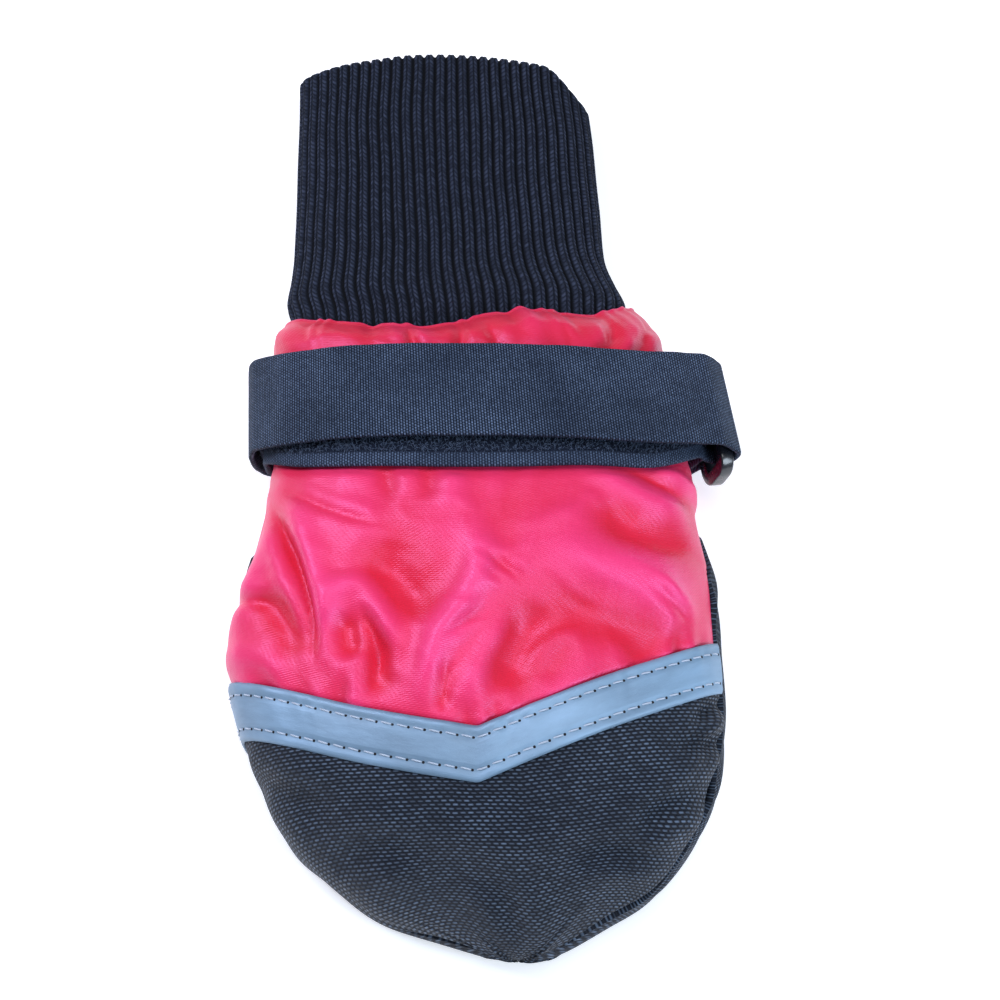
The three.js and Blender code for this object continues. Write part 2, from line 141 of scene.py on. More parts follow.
# The strap's middle line: degrees round the section, height over the nylon, and station.
STRAP_ROUTE = np.array(
    [
        (271, 1.1, 72.0),
        (262, 1.1, 72.0),
        (235, 1.1, 71.0),
        (200, 1.3, 70.0),
        (172, 1.3, 68.0),
        (140, 1.2, 63.0),
        (112, 1.2, 60.8),
        (88, 1.2, 60.0),
        (64, 1.2, 61.2),
        (42, 1.5, 62.5),
        *STRAP_FOLD,
        (24, 9.7, 68.2),
        (33, 7.5, 67.4),
        (50, 5.2, 66.0),
        (70, 4.0, 65.8),
        (90, 3.8, 65.8),
        (112, 3.8, 66.3),
        (140, 3.9, 67.3),
        (166, 4.2, 69.4),
        (190, 3.5, 70.7),
        (212, 2.9, 71.2),
    ]
)
TOE_SIDE_FLARE = 0.5  # the outer turn's edges stand off by this much more
CUFF_SIDE_FLARE = 1.1

SEAM_HEIGHT = 10.4
SEAM_TILT_X = 0.1
SEAM_TILT_Y = 0.06
HEEL_LEFT_Y = 42.0
HEEL_RIGHT_Y = 46.0
HEEL_BOW = 9.0
CHEVRON_X = (-70.0, -50.0, -37.0, -24.0, -12.0, 0.0, 12.0, 25.0, 40.0, 50.0, 70.0)
CHEVRON_Y = (4.0, -2.6, -7.0, -11.0, -13.5, -15.4, -10.3, -4.8, 1.4, 6.4, 16.5)
TAPE_WIDTH = 10.8

RING_INNER_BAR = (47.6, 10.6)
RING_LEAN = 14.0
RING_PITCH = 9.2
RING_WIRE = 3.0
RING_SLOT = 22.7
TAB_WIDTH = 17.0


# ---------------------------------------------------------------- what a user would change


class BootieSizes(bpy.types.PropertyGroup):
    """Sizes of the bootie's cloth details."""

    puff: bpy.props.FloatProperty(
        name="Puff", description="How far the gathered nylon stands out", default=1.7 * MM, unit="LENGTH"
    )
    crease: bpy.props.FloatProperty(
        name="Creases", description="Depth of the hand-set creases, 1 as sewn", default=1.0, min=0, max=2
    )
    rib_count: bpy.props.IntProperty(
        name="Knit ribs", description="Ribs round the leg cuff", default=60, min=20, max=90
    )
    rib_depth: bpy.props.FloatProperty(
        name="Rib depth", description="How deep the grooves between ribs are", default=0.75 * MM,
        unit="LENGTH",
    )
    stitch_pitch: bpy.props.FloatProperty(
        name="Stitch pitch", description="Length of one stitch with its gap", default=3.2 * MM,
        unit="LENGTH",
    )
    thread: bpy.props.FloatProperty(
        name="Thread", description="Thickness of the sewing thread", default=0.34 * MM, unit="LENGTH"
    )
    strap_width: bpy.props.FloatProperty(
        name="Strap width", description="Width of the hook-and-loop tape", default=21.4 * MM, unit="LENGTH"
    )
    strap_thickness: bpy.props.FloatProperty(
        name="Strap thickness", description="Thickness of the tape", default=1.3 * MM, unit="LENGTH"
    )
    pile_count: bpy.props.IntProperty(
        name="Pile fibres", description="Loose fibres on the strap's loop face", default=4200, min=0,
        max=8000,
    )


def colour_property(name, description, default):
    return bpy.props.FloatVectorProperty(
        name=name, description=description, default=default, subtype="COLOR", size=3, min=0, max=1
    )


class BootieColours(bpy.types.PropertyGroup):
    """Linear colours of the bootie's cloths, thread and plastic, and of the shade and highlights painted on
    them.
    """

    nylon: colour_property("Nylon", "Satin nylon of the paw pocket", (0.87, 0.046, 0.185))
    # Painted shade: the deeper red that the nylon turns to in the hollows of its folds.
    nylon_fold_shade: colour_property("Nylon in folds", "Nylon where it is creased", (0.70, 0.018, 0.046))
    weave: colour_property("Weave", "Coarse yarn of the toe cap and sole", (0.0055, 0.0085, 0.017))
    # Painted highlight: the colour of the glints on the crowns of the weave's dashes.
    weave_glint: colour_property("Weave glints", "Bright crowns of the yarn", (0.125, 0.180, 0.270))
    knit: colour_property("Knit", "Yarn of the leg cuff", (0.0085, 0.0115, 0.021))
    strap: colour_property("Strap", "Hook-and-loop tape", (0.0050, 0.0095, 0.023))
    # Painted highlight: the colour of the glints on the strap, the tab's yarns and the loose fibres.
    strap_glint: colour_property("Strap glints", "Bright yarns of the tape", (0.150, 0.215, 0.345))
    tape: colour_property("Reflective tape", "Silver reflective face", (0.200, 0.318, 0.450))
    thread: colour_property("Pale thread", "Thread on the reflective tape", (0.62, 0.72, 0.86))
    dark_thread: colour_property("Dark thread", "Thread on strap and sole", (0.030, 0.036, 0.050))
    plastic: colour_property("Ring", "Moulded ring", (0.008, 0.010, 0.015))
    lining: colour_property("Lining", "Cloth inside the pocket", (0.045, 0.048, 0.055))
    floor: colour_property("Floor", "Studio floor", (0.92, 0.93, 0.95))


# ---------------------------------------------------------------- the last and its lines


def smooth(start, end, value):
    """0 before start, 1 after end, and an even S between them."""
    share = np.clip((value - start) / (end - start), 0, 1)
    return share * share * (3 - 2 * share)


def through_rows(table, at):
    """Every column of a table at stations "at": a cubic between each two rows, whose slope at a row is
    that of the straight line from the row before it to the row after it."""
    y, values = table[:, 0], table[:, 1:]
    slope = np.empty_like(values)
    slope[1:-1] = (values[2:] - values[:-2]) / (y[2:] - y[:-2])[:, None]
    slope[0] = (values[1] - values[0]) / (y[1] - y[0])
    slope[-1] = (values[-1] - values[-2]) / (y[-1] - y[-2])
    at = np.clip(at, y[0], y[-1])
    row = np.clip(np.searchsorted(y, at, side="right") - 1, 0, len(y) - 2)
    width = (y[row + 1] - y[row])[..., None]
    t = (at - y[row])[..., None] / width
    start = (2 * t**3 - 3 * t**2 + 1) * values[row] + (t**3 - 2 * t**2 + t) * slope[row] * width
    end = (3 * t**2 - 2 * t**3) * values[row + 1] + (t**3 - t**2) * slope[row + 1] * width
    return start + end


def signed_power(value, power):
    return np.sign(value) * np.abs(value) ** power


def section_point(turn, y, row, powers):
    """A point of a section: a superellipse about (middle, side) with one power above its widest line
    and another below it, cut flat at the row's lowest Z."""
    centre, half, crown, under, side = row
    cos, sin = np.cos(turn), np.sin(turn)
    power = 2 / np.where(sin >= 0, powers[0], powers[1])
    depth = np.where(sin >= 0, crown - side, (side - under) / FLAT_SHARE)
    x = centre + half * signed_power(cos, power)
    z = np.maximum(side + depth * signed_power(sin, power), under)
    return np.stack(np.broadcast_arrays(x, y, z), -1)


def last_point(turn, y, out):
    """A point of the last grown by "out". Ahead of the ball, widths and heights shrink as the ordinates
    of an ellipse that reaches from the ball to the toe, and the underside rises late in a low spring."""
    turn, y, out = np.broadcast_arrays(*(np.asarray(v, float) for v in (turn, y, out)))
    rows = through_rows(LAST, y)
    centre, half, crown, under, side = (rows[..., i] for i in range(5))
    ahead = np.clip((BALL_Y - y) / (TOE_LENGTH + out), 0, 1)
    rounding = np.sqrt(1 - ahead**2)
    lifted = np.maximum(0, (ahead - SPRING_START) / (1 - SPRING_START))
    spring = (1 - lifted**4) ** 0.25
    under = np.maximum(under, CAP_OUT)
    grown = (
        centre,
        (half * UPPER_HALF + out) * rounding,
        side + (crown + out - side) * rounding,
        side - (side - under + out) * spring,
        side,
    )
    return section_point(turn, y, grown, LAST_POWERS)


ARC_TURNS = np.radians(np.linspace(-270, 270, 8001))
ARC_STATION = 40.0


def arc_table():
    """Millimetres round the section at ARC_STATION, 0 at the crown and growing towards -X."""
    points = last_point(ARC_TURNS, ARC_STATION, 0)
    steps = np.linalg.norm(np.diff(points, axis=0), axis=1)
    arc = np.concatenate([[0], np.cumsum(steps)])
    return arc - np.interp(math.pi / 2, ARC_TURNS, arc)


ARCS = arc_table()


def turn_at(arc):
    return np.interp(arc, ARCS, ARC_TURNS)


def arc_at(turn):
    return np.interp(turn, ARC_TURNS, ARCS)


def all_round(count):
    """Turns evenly spaced right round the section, from underneath, up +X, over the top and down -X."""
    start, end = arc_at(-math.pi / 2), arc_at(1.5 * math.pi)
    return turn_at(np.linspace(start, end, count, endpoint=False))


def seam_height(x, y):
    """Height of the side seam's tilted plane."""
    return SEAM_HEIGHT + SEAM_TILT_X * x + SEAM_TILT_Y * y


def heel_line(x):
    """Station of the sole's rear edge: a quadratic curve from one corner to the other, bowed back."""
    share = np.clip(0.5 - x / (2 * UPPER_HALF), 0, 1)
    middle = HEEL_RIGHT_Y + 2 * HEEL_BOW
    return (1 - share) ** 2 * HEEL_RIGHT_Y + 2 * share * (1 - share) * middle + share**2 * HEEL_LEFT_Y


def sole_end(x, z):
    """Station of the sole's rear edge at a height: its corners are cut away as they rise."""
    return heel_line(x) - 0.05 * np.clip(z, 0, None) ** 2


def tape_front(x):
    """Station of the chevron's front edge: straight lines between its corners, which are rounded by
    averaging the line over a short way to each side, shorter at the point in the middle."""
    reach = 0.6 + 4.0 * smooth(3, 9, np.abs(x))
    around = np.stack([x + reach * share for share in (-1, -0.5, 0, 0.5, 1)])
    return np.interp(around, CHEVRON_X, CHEVRON_Y).mean(0)


def seam_turn(y, out, side, lift=0.0):
    """Turn at which the last meets the side seam, found by halving: side 1 for +X, -1 for -X. It is the
    crown's where the whole section lies under the seam."""
    low = np.full(np.shape(y), -math.pi / 2)
    high = np.full(np.shape(y), math.pi / 2)
    for _ in range(34):
        middle = (low + high) / 2
        point = last_point(middle if side > 0 else math.pi - middle, y, out)
        below = point[..., 2] < seam_height(point[..., 0], y) + lift
        low = np.where(below, middle, low)
        high = np.where(below, high, middle)
    return high if side > 0 else math.pi - high


def undulation(points, length, phase):
    """Slow uneven waves: a sum of five sines along five fixed directions, between about -1 and 1."""
    total = np.zeros(points.shape[:-1])
    for k in range(5):
        angle = phase * 1.7 + k * 2.4
        direction = np.array([math.cos(angle), math.sin(angle), 0.6 * math.sin(1.3 * angle + 1)])
        total += np.sin(2 * math.pi * (points @ direction) / (length * (0.75 + 0.17 * k)) + phase + 1.9 * k)
    return total / 3


def gathers(along, length, phase):
    """Uneven ripples along an edge: a sine whose pace and height wander slowly."""
    wander = 0.42 * np.sin(2 * math.pi * along / (3.7 * length) + phase)
    height = 0.62 + 0.38 * np.sin(2 * math.pi * along / (2.3 * length) + 2.1 * phase)
    return height * np.sin(2 * math.pi * (along / length + wander) + phase)


def section_axis(points):
    """Points on the last's middle line, level with each given point."""
    rows = through_rows(LAST, points[..., 1])
    return np.stack([rows[..., 0], np.clip(points[..., 1], -25, None), rows[..., 4]], -1)


def grid_normals(points):
    """Unit normals of a grid of points over the last, from the differences along its rows and columns.
    They point away from the last's middle line."""
    normal = np.cross(np.gradient(points, axis=1), np.gradient(points, axis=0))
    length = np.linalg.norm(normal, axis=-1, keepdims=True)
    outward = np.sign((normal * (points - section_axis(points))).sum())
    return outward * normal / np.maximum(length, 1e-9)


# ---------------------------------------------------------------- creases listed one by one

# Each line runs over the top in plan millimetres. depth: of the trough, or of a ridge if below 0.
# width: of its half. left and right: height of the ridge on that side, walking along the line. crisp: how
# much of the trough is a sharp line.
NYLON_CREASES = [
    # The lobe over the -X side: the edge that laps it, the hollow behind it and its own folds.
    dict(line=[(-44, 48), (-38, 34), (-33, 20), (-32, 6)], depth=3.5, width=1.8, left=0.3, right=1.1,
         crisp=0.75),
    dict(line=[(-40, 50), (-33, 28), (-29, 6)], depth=-1.7, width=3.4),
    dict(line=[(-46, 25), (-38, 18), (-34, 8)], depth=2.5, width=3.6),
    dict(line=[(-54, 14), (-44, 12), (-34, 4)], depth=-0.9, width=2.6),
    dict(line=[(-42, 42), (-50, 16)], depth=-1.1, width=3.4),
    dict(line=[(-52, 26), (-39, 22)], depth=1.1, width=1.7, left=0.4, right=0.4, crisp=0.5),
    # A thin diagonal crease below the strap, and the fullness above it.
    dict(line=[(-43, 50), (-30, 41), (-15, 35)], depth=0.8, width=1.2, left=0.4, right=0.2, crisp=0.8),
    dict(line=[(-40, 54), (-20, 46)], depth=-0.7, width=4.0),
    # The hooked fold: its ridge, the hollow inside it and the crisp lines that run down from it.
    dict(line=[(-30, 10), (-29, 22), (-23, 24), (-17, 16), (-16, 2)], depth=-1.9, width=2.9),
    dict(line=[(-27, 20), (-24, 8)], depth=2.2, width=2.9),
    dict(line=[(-24, 21), (-20, 12), (-21, 0)], depth=2.0, width=1.5, left=0.6, right=0.3, crisp=0.75),
    dict(line=[(-19, 16), (-18, 0)], depth=1.9, width=2.6),
    # The deep hollow, and the long ridge that runs round it to the chevron's point.
    dict(line=[(-23, 35), (-8, 16)], depth=3.2, width=5.2),
    dict(line=[(-5, 42), (0, 28), (-8, 12), (-12, -2)], depth=-2.6, width=3.2),
    dict(line=[(2, 20), (-8, 12)], depth=0.9, width=1.1, left=0.4, right=0.4, crisp=0.8),
    dict(line=[(-2, 32), (10, 24)], depth=0.9, width=1.2, left=0.5, right=0.5, crisp=0.8),
    dict(line=[(-2, 29), (7, 23)], depth=0.7, width=0.9, left=0.3, right=0.2, crisp=0.8),
    dict(line=[(14, 22), (8, 11), (4, 0)], depth=2.9, width=4.2),
    dict(line=[(7, 21), (-4, -2)], depth=-1.3, width=2.6),
    dict(line=[(-6, 10), (-7, -3)], depth=1.7, width=1.9, left=0.3, right=0.5, crisp=0.4),
    # The +X side: a broad swell between two hollows, and folds that run down from the strap.
    dict(line=[(2, 32), (24, 29), (36, 25), (43, 17)], depth=-2.2, width=5.2),
    dict(line=[(20, 42), (34, 36), (49, 34)], depth=2.0, width=4.2),
    dict(line=[(10, 21), (41, 12)], depth=1.8, width=4.8),
    dict(line=[(32, 26), (43, 18)], depth=0.8, width=1.2, left=0.5, right=0.3, crisp=0.7),
    dict(line=[(18, 52), (32, 45), (47, 41)], depth=-1.6, width=2.7),
    dict(line=[(33, 54), (48, 48)], depth=-1.3, width=2.1),
    dict(line=[(26, 53), (47, 45)], depth=1.3, width=1.6, left=0.2, right=0.2, crisp=0.4),
    dict(line=[(19, 14), (12, 3)], depth=1.0, width=2.6, left=0.3, right=0.3),
    dict(line=[(33, 15), (30, 5)], depth=0.8, width=2.6, left=0.3, right=0.3),
    dict(line=[(-26, 8), (-27, -4)], depth=0.9, width=1.7, left=0.5, right=0.4, crisp=0.3),
    # Short tucks that come up from under the strap, and those of the collar behind it.
    dict(line=[(-21, 55), (-17, 41)], depth=1.0, width=2.2, left=0.3, right=0.4),
    dict(line=[(-11, 54), (-10, 41)], depth=0.8, width=2.2, left=0.3, right=0.3),
    dict(line=[(-5, 50), (-5, 38)], depth=-1.0, width=3.2),
    dict(line=[(-12, 71), (-16, 93)], depth=1.7, width=1.2, left=0.5, right=0.5, crisp=0.6),
    dict(line=[(-4, 71), (-4, 93)], depth=1.0, width=1.3, left=0.4, right=0.4, crisp=0.6),
    dict(line=[(6, 71), (1, 90)], depth=0.8, width=1.5, left=0.4, right=0.4, crisp=0.4),
    dict(line=[(20, 70), (27, 80), (29, 93)], depth=1.2, width=1.8, left=0.5, right=0.5, crisp=0.3),
    dict(line=[(30, 70), (37, 90)], depth=0.9, width=1.5, left=0.4, right=0.4, crisp=0.3),
    dict(line=[(8, 74), (15, 92)], depth=-0.9, width=4.2),
]

CAP_CREASES = [
    dict(line=[(52, 7), (47, 3), (41, -3)], depth=1.9, width=1.7, left=1.0, right=1.1),
    dict(line=[(52, -2), (45, -5), (37, -6)], depth=1.4, width=1.8, left=0.8, right=0.8),
    dict(line=[(49, -13), (38, -18), (27, -26)], depth=1.5, width=2.6, left=1.1, right=0.8),
    dict(line=[(38, -28), (28, -28), (16, -30)], depth=1.1, width=2.6, left=0.8, right=0.6),
    dict(line=[(-48, -10), (-38, -15.6), (-26, -21)], depth=1.3, width=3.2, left=0.9, right=0.6),
    dict(line=[(-30, -31), (-20, -27), (-8, -30)], depth=1.1, width=3.0, left=0.8, right=0.7),
    dict(line=[(-14, -18), (4, -26), (24, -20)], depth=-1.1, width=5.5, left=0, right=0),
    dict(line=[(8, -47), (6, -39), (0, -31)], depth=1.1, width=2.4, left=0.6, right=0.5),
]


def crown_height(x, y, out):
    """Height of the last's top above a point in plan, by its section's own formula."""
    rows = through_rows(LAST, np.asarray(y, float))
    ahead = np.clip((BALL_Y - y) / (TOE_LENGTH + out), 0, 0.999)
    rounding = np.sqrt(1 - ahead**2)
    half = (rows[..., 1] * UPPER_HALF + out) * rounding
    crown = rows[..., 4] + (rows[..., 2] + out - rows[..., 4]) * rounding
    share = np.clip(np.abs(x - rows[..., 0]) / half, 0, 1)
    power = LAST_POWERS[0]
    return rows[..., 4] + (crown - rows[..., 4]) * (1 - share**power) ** (1 / power)


def crease_line(crease, out, count=26):
    """The crease's listed corners, smoothed and laid on the top of the last."""
    corners = np.array(crease["line"], float)
    order = np.linspace(0, 1, len(corners))
    table = np.column_stack([order, corners])
    plan = through_rows(table, np.linspace(0, 1, count))
    return np.column_stack([plan, crown_height(plan[:, 0], plan[:, 1], out)])


def crease_height(points, normals, crease, out):
    """How far one crease moves the cloth: a bell-shaped trough along its line with a bell-shaped ridge
    on each side, both fading towards the line's ends."""
    height = np.zeros(points.shape[:-1])
    line = crease_line(crease, out)
    width = crease["width"]
    reach = 6 * width
    near = np.all((points > line.min(0) - reach) & (points < line.max(0) + reach), axis=-1)
    here, normal = points[near], normals[near]
    start, step = line[:-1], np.diff(line, axis=0)
    offset = here[:, None] - start[None]
    share = np.clip((offset * step).sum(-1) / (step * step).sum(-1), 0, 1)
    away = offset - share[..., None] * step
    distance = np.linalg.norm(away, axis=-1)
    nearest = distance.argmin(1)
    pick = np.arange(len(here))
    along = (nearest + share[pick, nearest]) / len(step)
    left = np.cross(normal, step[nearest])
    side = np.sign((left * away[pick, nearest]).sum(-1))
    d = side * distance[pick, nearest]
    fade = smooth(0, 0.38, along) * smooth(0, 0.38, 1 - along)
    crisp = crease.get("crisp", 0.0)
    rounded, sharp = np.exp(-((d / width) ** 2)), np.exp(-1.5 * np.abs(d) / width)
    trough = -crease["depth"] * (crisp * sharp + (1 - crisp) * rounded)
    ridges = crease.get("left", 0.0) * np.exp(-(((d - 1.9 * width) / (1.3 * width)) ** 2))
    ridges = ridges + crease.get("right", 0.0) * np.exp(-(((d + 1.9 * width) / (1.3 * width)) ** 2))
    height[near] = fade * (trough + ridges)
    return height


def all_creases(points, normals, creases, out, amount):
    return amount * sum(crease_height(points, normals, crease, out) for crease in creases)


# ---------------------------------------------------------------- meshes from grids


def mesh_object(name, points, faces, uv, material, outward=None, relief=None):
    """An object at the origin from points in millimetres, quads and a UV for each corner of each quad.
    Its faces are turned round if they point inwards: by the signed volume of a closed surface, or by
    the given axis points of an open one."""
    corners = points[faces]
    normal = np.cross(corners[:, 2] - corners[:, 0], corners[:, 3] - corners[:, 1])
    middle = corners.mean(1)
    away = middle - middle.mean(0) if outward is None else middle - outward(middle)
    if (normal * away).sum() < 0:
        faces = faces[:, ::-1]
        uv = uv[:, ::-1]
    mesh = bpy.data.meshes.new(name)
    mesh.from_pydata(points * MM, [], faces)
    layer = mesh.uv_layers.new(name=CLOTH_UV)
    layer.data.foreach_set("uv", uv.reshape(-1).astype(np.float32))
    if relief is not None:
        heights = np.repeat(relief.reshape(-1)[faces].reshape(-1), 2)
        mesh.uv_layers.new(name=RELIEF_UV).data.foreach_set("uv", heights.astype(np.float32))
    mesh.materials.append(material)
    weld(mesh)
    mesh.shade_smooth()
    obj = bpy.data.objects.new(name, mesh)
    bpy.context.scene.collection.objects.link(obj)
    return obj


def weld(mesh, distance=2e-6):
    """Closes seams and poles: corners that lie on each other become one, and slivers go."""
    work = bmesh.new()
    work.from_mesh(mesh)
    bmesh.ops.remove_doubles(work, verts=work.verts, dist=distance)
    bmesh.ops.dissolve_degenerate(work, edges=work.edges, dist=distance / 4)
    work.to_mesh(mesh)
    work.free()


def grid_faces(rows, columns, wrap_rows, wrap_columns):
    """Quads of a grid, and the same quads numbered on the grid with its repeated row and column."""
    row_count = rows if wrap_rows else rows - 1
    column_count = columns if wrap_columns else columns - 1
    i, j = np.meshgrid(np.arange(row_count), np.arange(column_count), indexing="ij")
    around = [(i, j), (i, j + 1), (i + 1, j + 1), (i + 1, j)]
    faces = np.stack([(a % rows) * columns + b % columns for a, b in around], -1)
    wide = columns + 1 if wrap_columns else columns
    uv_faces = np.stack([a * wide + b for a, b in around], -1)
    return faces.reshape(-1, 4), uv_faces.reshape(-1, 4)


def grid_object(
    name, points, uv, material, wrap_rows=False, wrap_columns=False, outward=None, relief=None
):
    """An object from a grid of points. uv has one more row or column where the grid wraps."""
    rows, columns = points.shape[:2]
    faces, uv_faces = grid_faces(rows, columns, wrap_rows, wrap_columns)
    flat_uv = uv.reshape(-1, 2)
    return mesh_object(name, points.reshape(-1, 3), faces, flat_uv[uv_faces], material, outward, relief)


def draped_uv(points, middle_column, wrap_rows=False, wrap_columns=False):
    """Millimetres along the cloth: across each row from the middle column, and along that column."""
    if wrap_columns:
        points = np.concatenate([points, points[:, :1]], axis=1)
    if wrap_rows:
        points = np.concatenate([points, points[:1]], axis=0)
    across = np.linalg.norm(np.diff(points, axis=1), axis=-1)
    u = np.concatenate([np.zeros((len(points), 1)), np.cumsum(across, axis=1)], axis=1)
    u = u - u[:, middle_column : middle_column + 1]
    down = np.linalg.norm(np.diff(points[:, middle_column], axis=0), axis=-1)
    v = np.concatenate([[0], np.cumsum(down)])
    return np.stack([u, np.broadcast_to(v[:, None], u.shape)], -1)


def wall(obj, thickness):
    """Gives an open cloth its thickness, inwards."""
    modifier = obj.modifiers.new("thickness", "SOLIDIFY")
    modifier.thickness = thickness * MM
    modifier.offset = -1
    modifier.use_rim = True
    modifier.use_even_offset = False
    return obj


def place(obj, slot, *nodes):
    """Puts a finished piece on the frame, in place of its CAD nodes. The slot is not used."""
    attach(obj, ROOT)
    if nodes:
        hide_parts(*nodes)
    return obj


# ---------------------------------------------------------------- bands, threads and fibres


def band_profile(width, thickness, across=22, edge=5):
    """A band's outline in (across, up): two flat faces joined by half-round edges."""
    radius = thickness / 2
    flat = np.linspace(-width / 2 + radius, width / 2 - radius, across)
    bend = np.linspace(-math.pi / 2, math.pi / 2, edge + 2)[1:-1]
    top = np.column_stack([flat[::-1], np.full(across, radius)])
    left = np.column_stack([flat[0] - radius * np.cos(bend), -radius * np.sin(bend)])
    bottom = np.column_stack([flat, np.full(across, -radius)])
    right = np.column_stack([flat[-1] + radius * np.cos(bend), radius * np.sin(bend)])
    return np.concatenate([top, left, bottom, right])


def band_object(name, middles, across, width, thickness, material):
    """A flat band: its profile carried along a middle line, across the given directions. UV holds
    millimetres along it and across it, with FACE_SHIFT added on its upper face."""
    along = np.gradient(middles, axis=0)
    along /= np.linalg.norm(along, axis=1, keepdims=True)
    across = across / np.linalg.norm(across, axis=1, keepdims=True)
    up = np.cross(across, along)
    up /= np.linalg.norm(up, axis=1, keepdims=True)
    profile = band_profile(width, thickness)
    points = (
        middles[:, None]
        + across[:, None] * profile[None, :, :1]
        + up[:, None] * profile[None, :, 1:]
    )
    flat_ends = middles[[0, -1], None] + across[[0, -1], None] * profile[None, :, :1]
    points = np.concatenate([flat_ends[:1], points, flat_ends[1:]])
    lengths = np.linalg.norm(np.diff(middles, axis=0), axis=1)
    u = np.concatenate([[0, 0], np.cumsum(lengths), [lengths.sum()]])
    v = profile[:, 0] + np.where(profile[:, 1] > 0, FACE_SHIFT, 0)
    v = np.concatenate([v, v[:1]])
    uv = np.stack(np.broadcast_arrays(u[:, None], v[None]), -1)
    obj = grid_object(name, points, uv, material, wrap_columns=True)
    return obj, up


FACE_SHIFT = 100.0


def stitches(name, points, normals, pitch, thread, material, lift=0.35):
    """A row of stitches along a line: each is a short round thread that arches out of the cloth and
    dives back in, and six-sided rings along it make its skin."""
    steps = np.linalg.norm(np.diff(points, axis=0), axis=1)
    run = np.concatenate([[0], np.cumsum(steps)])
    count = max(1, int(run[-1] / pitch))
    start = (run[-1] - count * pitch) / 2 + pitch * np.arange(count)
    share = np.linspace(0, 1, 7)
    at = start[:, None] + pitch * (0.5 + 0.80 * (share[None] - 0.5))

    def along(values):
        return np.stack([np.interp(at, run, values[:, k]) for k in range(3)], -1)

    middle, normal = along(points), along(normals)
    tangent = along(np.gradient(points, axis=0))
    tangent /= np.linalg.norm(tangent, axis=-1, keepdims=True)
    normal /= np.linalg.norm(normal, axis=-1, keepdims=True)
    side = np.cross(tangent, normal)
    slant = 0.10 * thread * (share - 0.5)[None, :, None] * side * 6
    arch = (lift * np.sin(math.pi * share) ** 0.6 - 0.55 * lift)[None, :, None]
    middle = middle + normal * arch + slant
    angle = np.linspace(0, 2 * math.pi, 6, endpoint=False)
    girth = (thread / 2 * (0.35 + 0.65 * np.sin(math.pi * share) ** 0.35))[None, :, None, None]
    ring = np.cos(angle)[:, None] * side[:, :, None] + np.sin(angle)[:, None] * normal[:, :, None]
    skin = middle[:, :, None] + girth * ring
    ends = middle[:, [0, -1]].reshape(-1, 3)
    return tubes_object(name, skin, material), ends, normal[:, [0, -1]].reshape(-1, 3)


def tubes_object(name, skin, material):
    """Many short closed tubes in one mesh. skin is tubes x rings x corners x 3, and each end ring is
    drawn together to its middle."""
    tubes, rings, corners = skin.shape[:3]
    ends = skin[:, [0, -1]].mean(2, keepdims=True) * np.ones((1, 1, corners, 1))
    skin = np.concatenate([ends[:, :1], skin, ends[:, 1:]], axis=1)
    rings += 2
    faces, uv_faces = grid_faces(rings, corners, False, True)
    many = (faces[None] + (rings * corners * np.arange(tubes))[:, None, None]).reshape(-1, 4)
    i, j = np.meshgrid(np.arange(rings), np.arange(corners + 1), indexing="ij")
    uv = np.stack([i, j], -1).reshape(-1, 2)[uv_faces].astype(float)
    uv = np.tile(uv, (tubes, 1, 1))
    points = skin.reshape(-1, 3)
    middles = skin.mean((1, 2))[np.repeat(np.arange(tubes), len(faces))]
    return mesh_object(name, points, many, uv, material, outward=lambda _: middles)


def needle_holes(name, at, normals, radius, material):
    """Dark pricks at the ends of the stitches: flattened domes set into the cloth, standing in for the
    shade inside the needle holes.
    """
    share = np.array([0.0, 0.6, 1.0])
    angle = np.linspace(0, 2 * math.pi, 8, endpoint=False)
    helper = np.where(np.abs(normals[:, 2:]) < 0.9, [[0, 0, 1.0]], [[0, 1.0, 0]])
    side = np.cross(normals, helper)
    side /= np.linalg.norm(side, axis=1, keepdims=True)
    other = np.cross(normals, side)
    ring = np.cos(angle)[:, None] * side[:, None] + np.sin(angle)[:, None] * other[:, None]
    girth = radius * np.sqrt(1 - share**2) + 1e-4
    skin = (
        at[:, None, None]
        + girth[None, :, None, None] * ring[:, None]
        + (0.3 * radius * share)[None, :, None, None] * normals[:, None, None]
    )
    return tubes_object(name, skin, material)


# ---------------------------------------------------------------- materials


class Wire:
    """A number on its way through a material's nodes. Arithmetic on it adds Math nodes."""

    def __init__(self, finish, socket):
        self.finish = finish
        self.socket = socket

    def math(self, operation, *others):
        return self.finish.math(operation, self, *others)

    def __add__(self, other):
        return self.math("ADD", other)

    def __radd__(self, other):
        return self.math("ADD", other)

    def __sub__(self, other):
        return self.math("SUBTRACT", other)

    def __rsub__(self, other):
        return self.finish.math("SUBTRACT", other, self)

    def __mul__(self, other):
        return self.math("MULTIPLY", other)

    def __rmul__(self, other):
        return self.math("MULTIPLY", other)

    def __truediv__(self, other):
        return self.math("DIVIDE", other)

    def __pow__(self, other):
        return self.math("POWER", other)

    def __abs__(self):
        return self.math("ABSOLUTE")

    def floor(self):
        return self.math("FLOOR")

    def fraction(self):
        return self.math("FRACT")

    def sine(self):
        return self.math("SINE")

    def above(self, other):
        return self.math("GREATER_THAN", other)

    def highest(self, other):
        return self.math("MAXIMUM", other)

    def held(self):
        """The value kept between 0 and 1."""
        return self.finish.node("ShaderNodeClamp", {}, {"Value": self})

    def step(self, start, end):
        """0 below start, 1 above end, and even between them."""
        return ((self - start) / (end - start)).held()


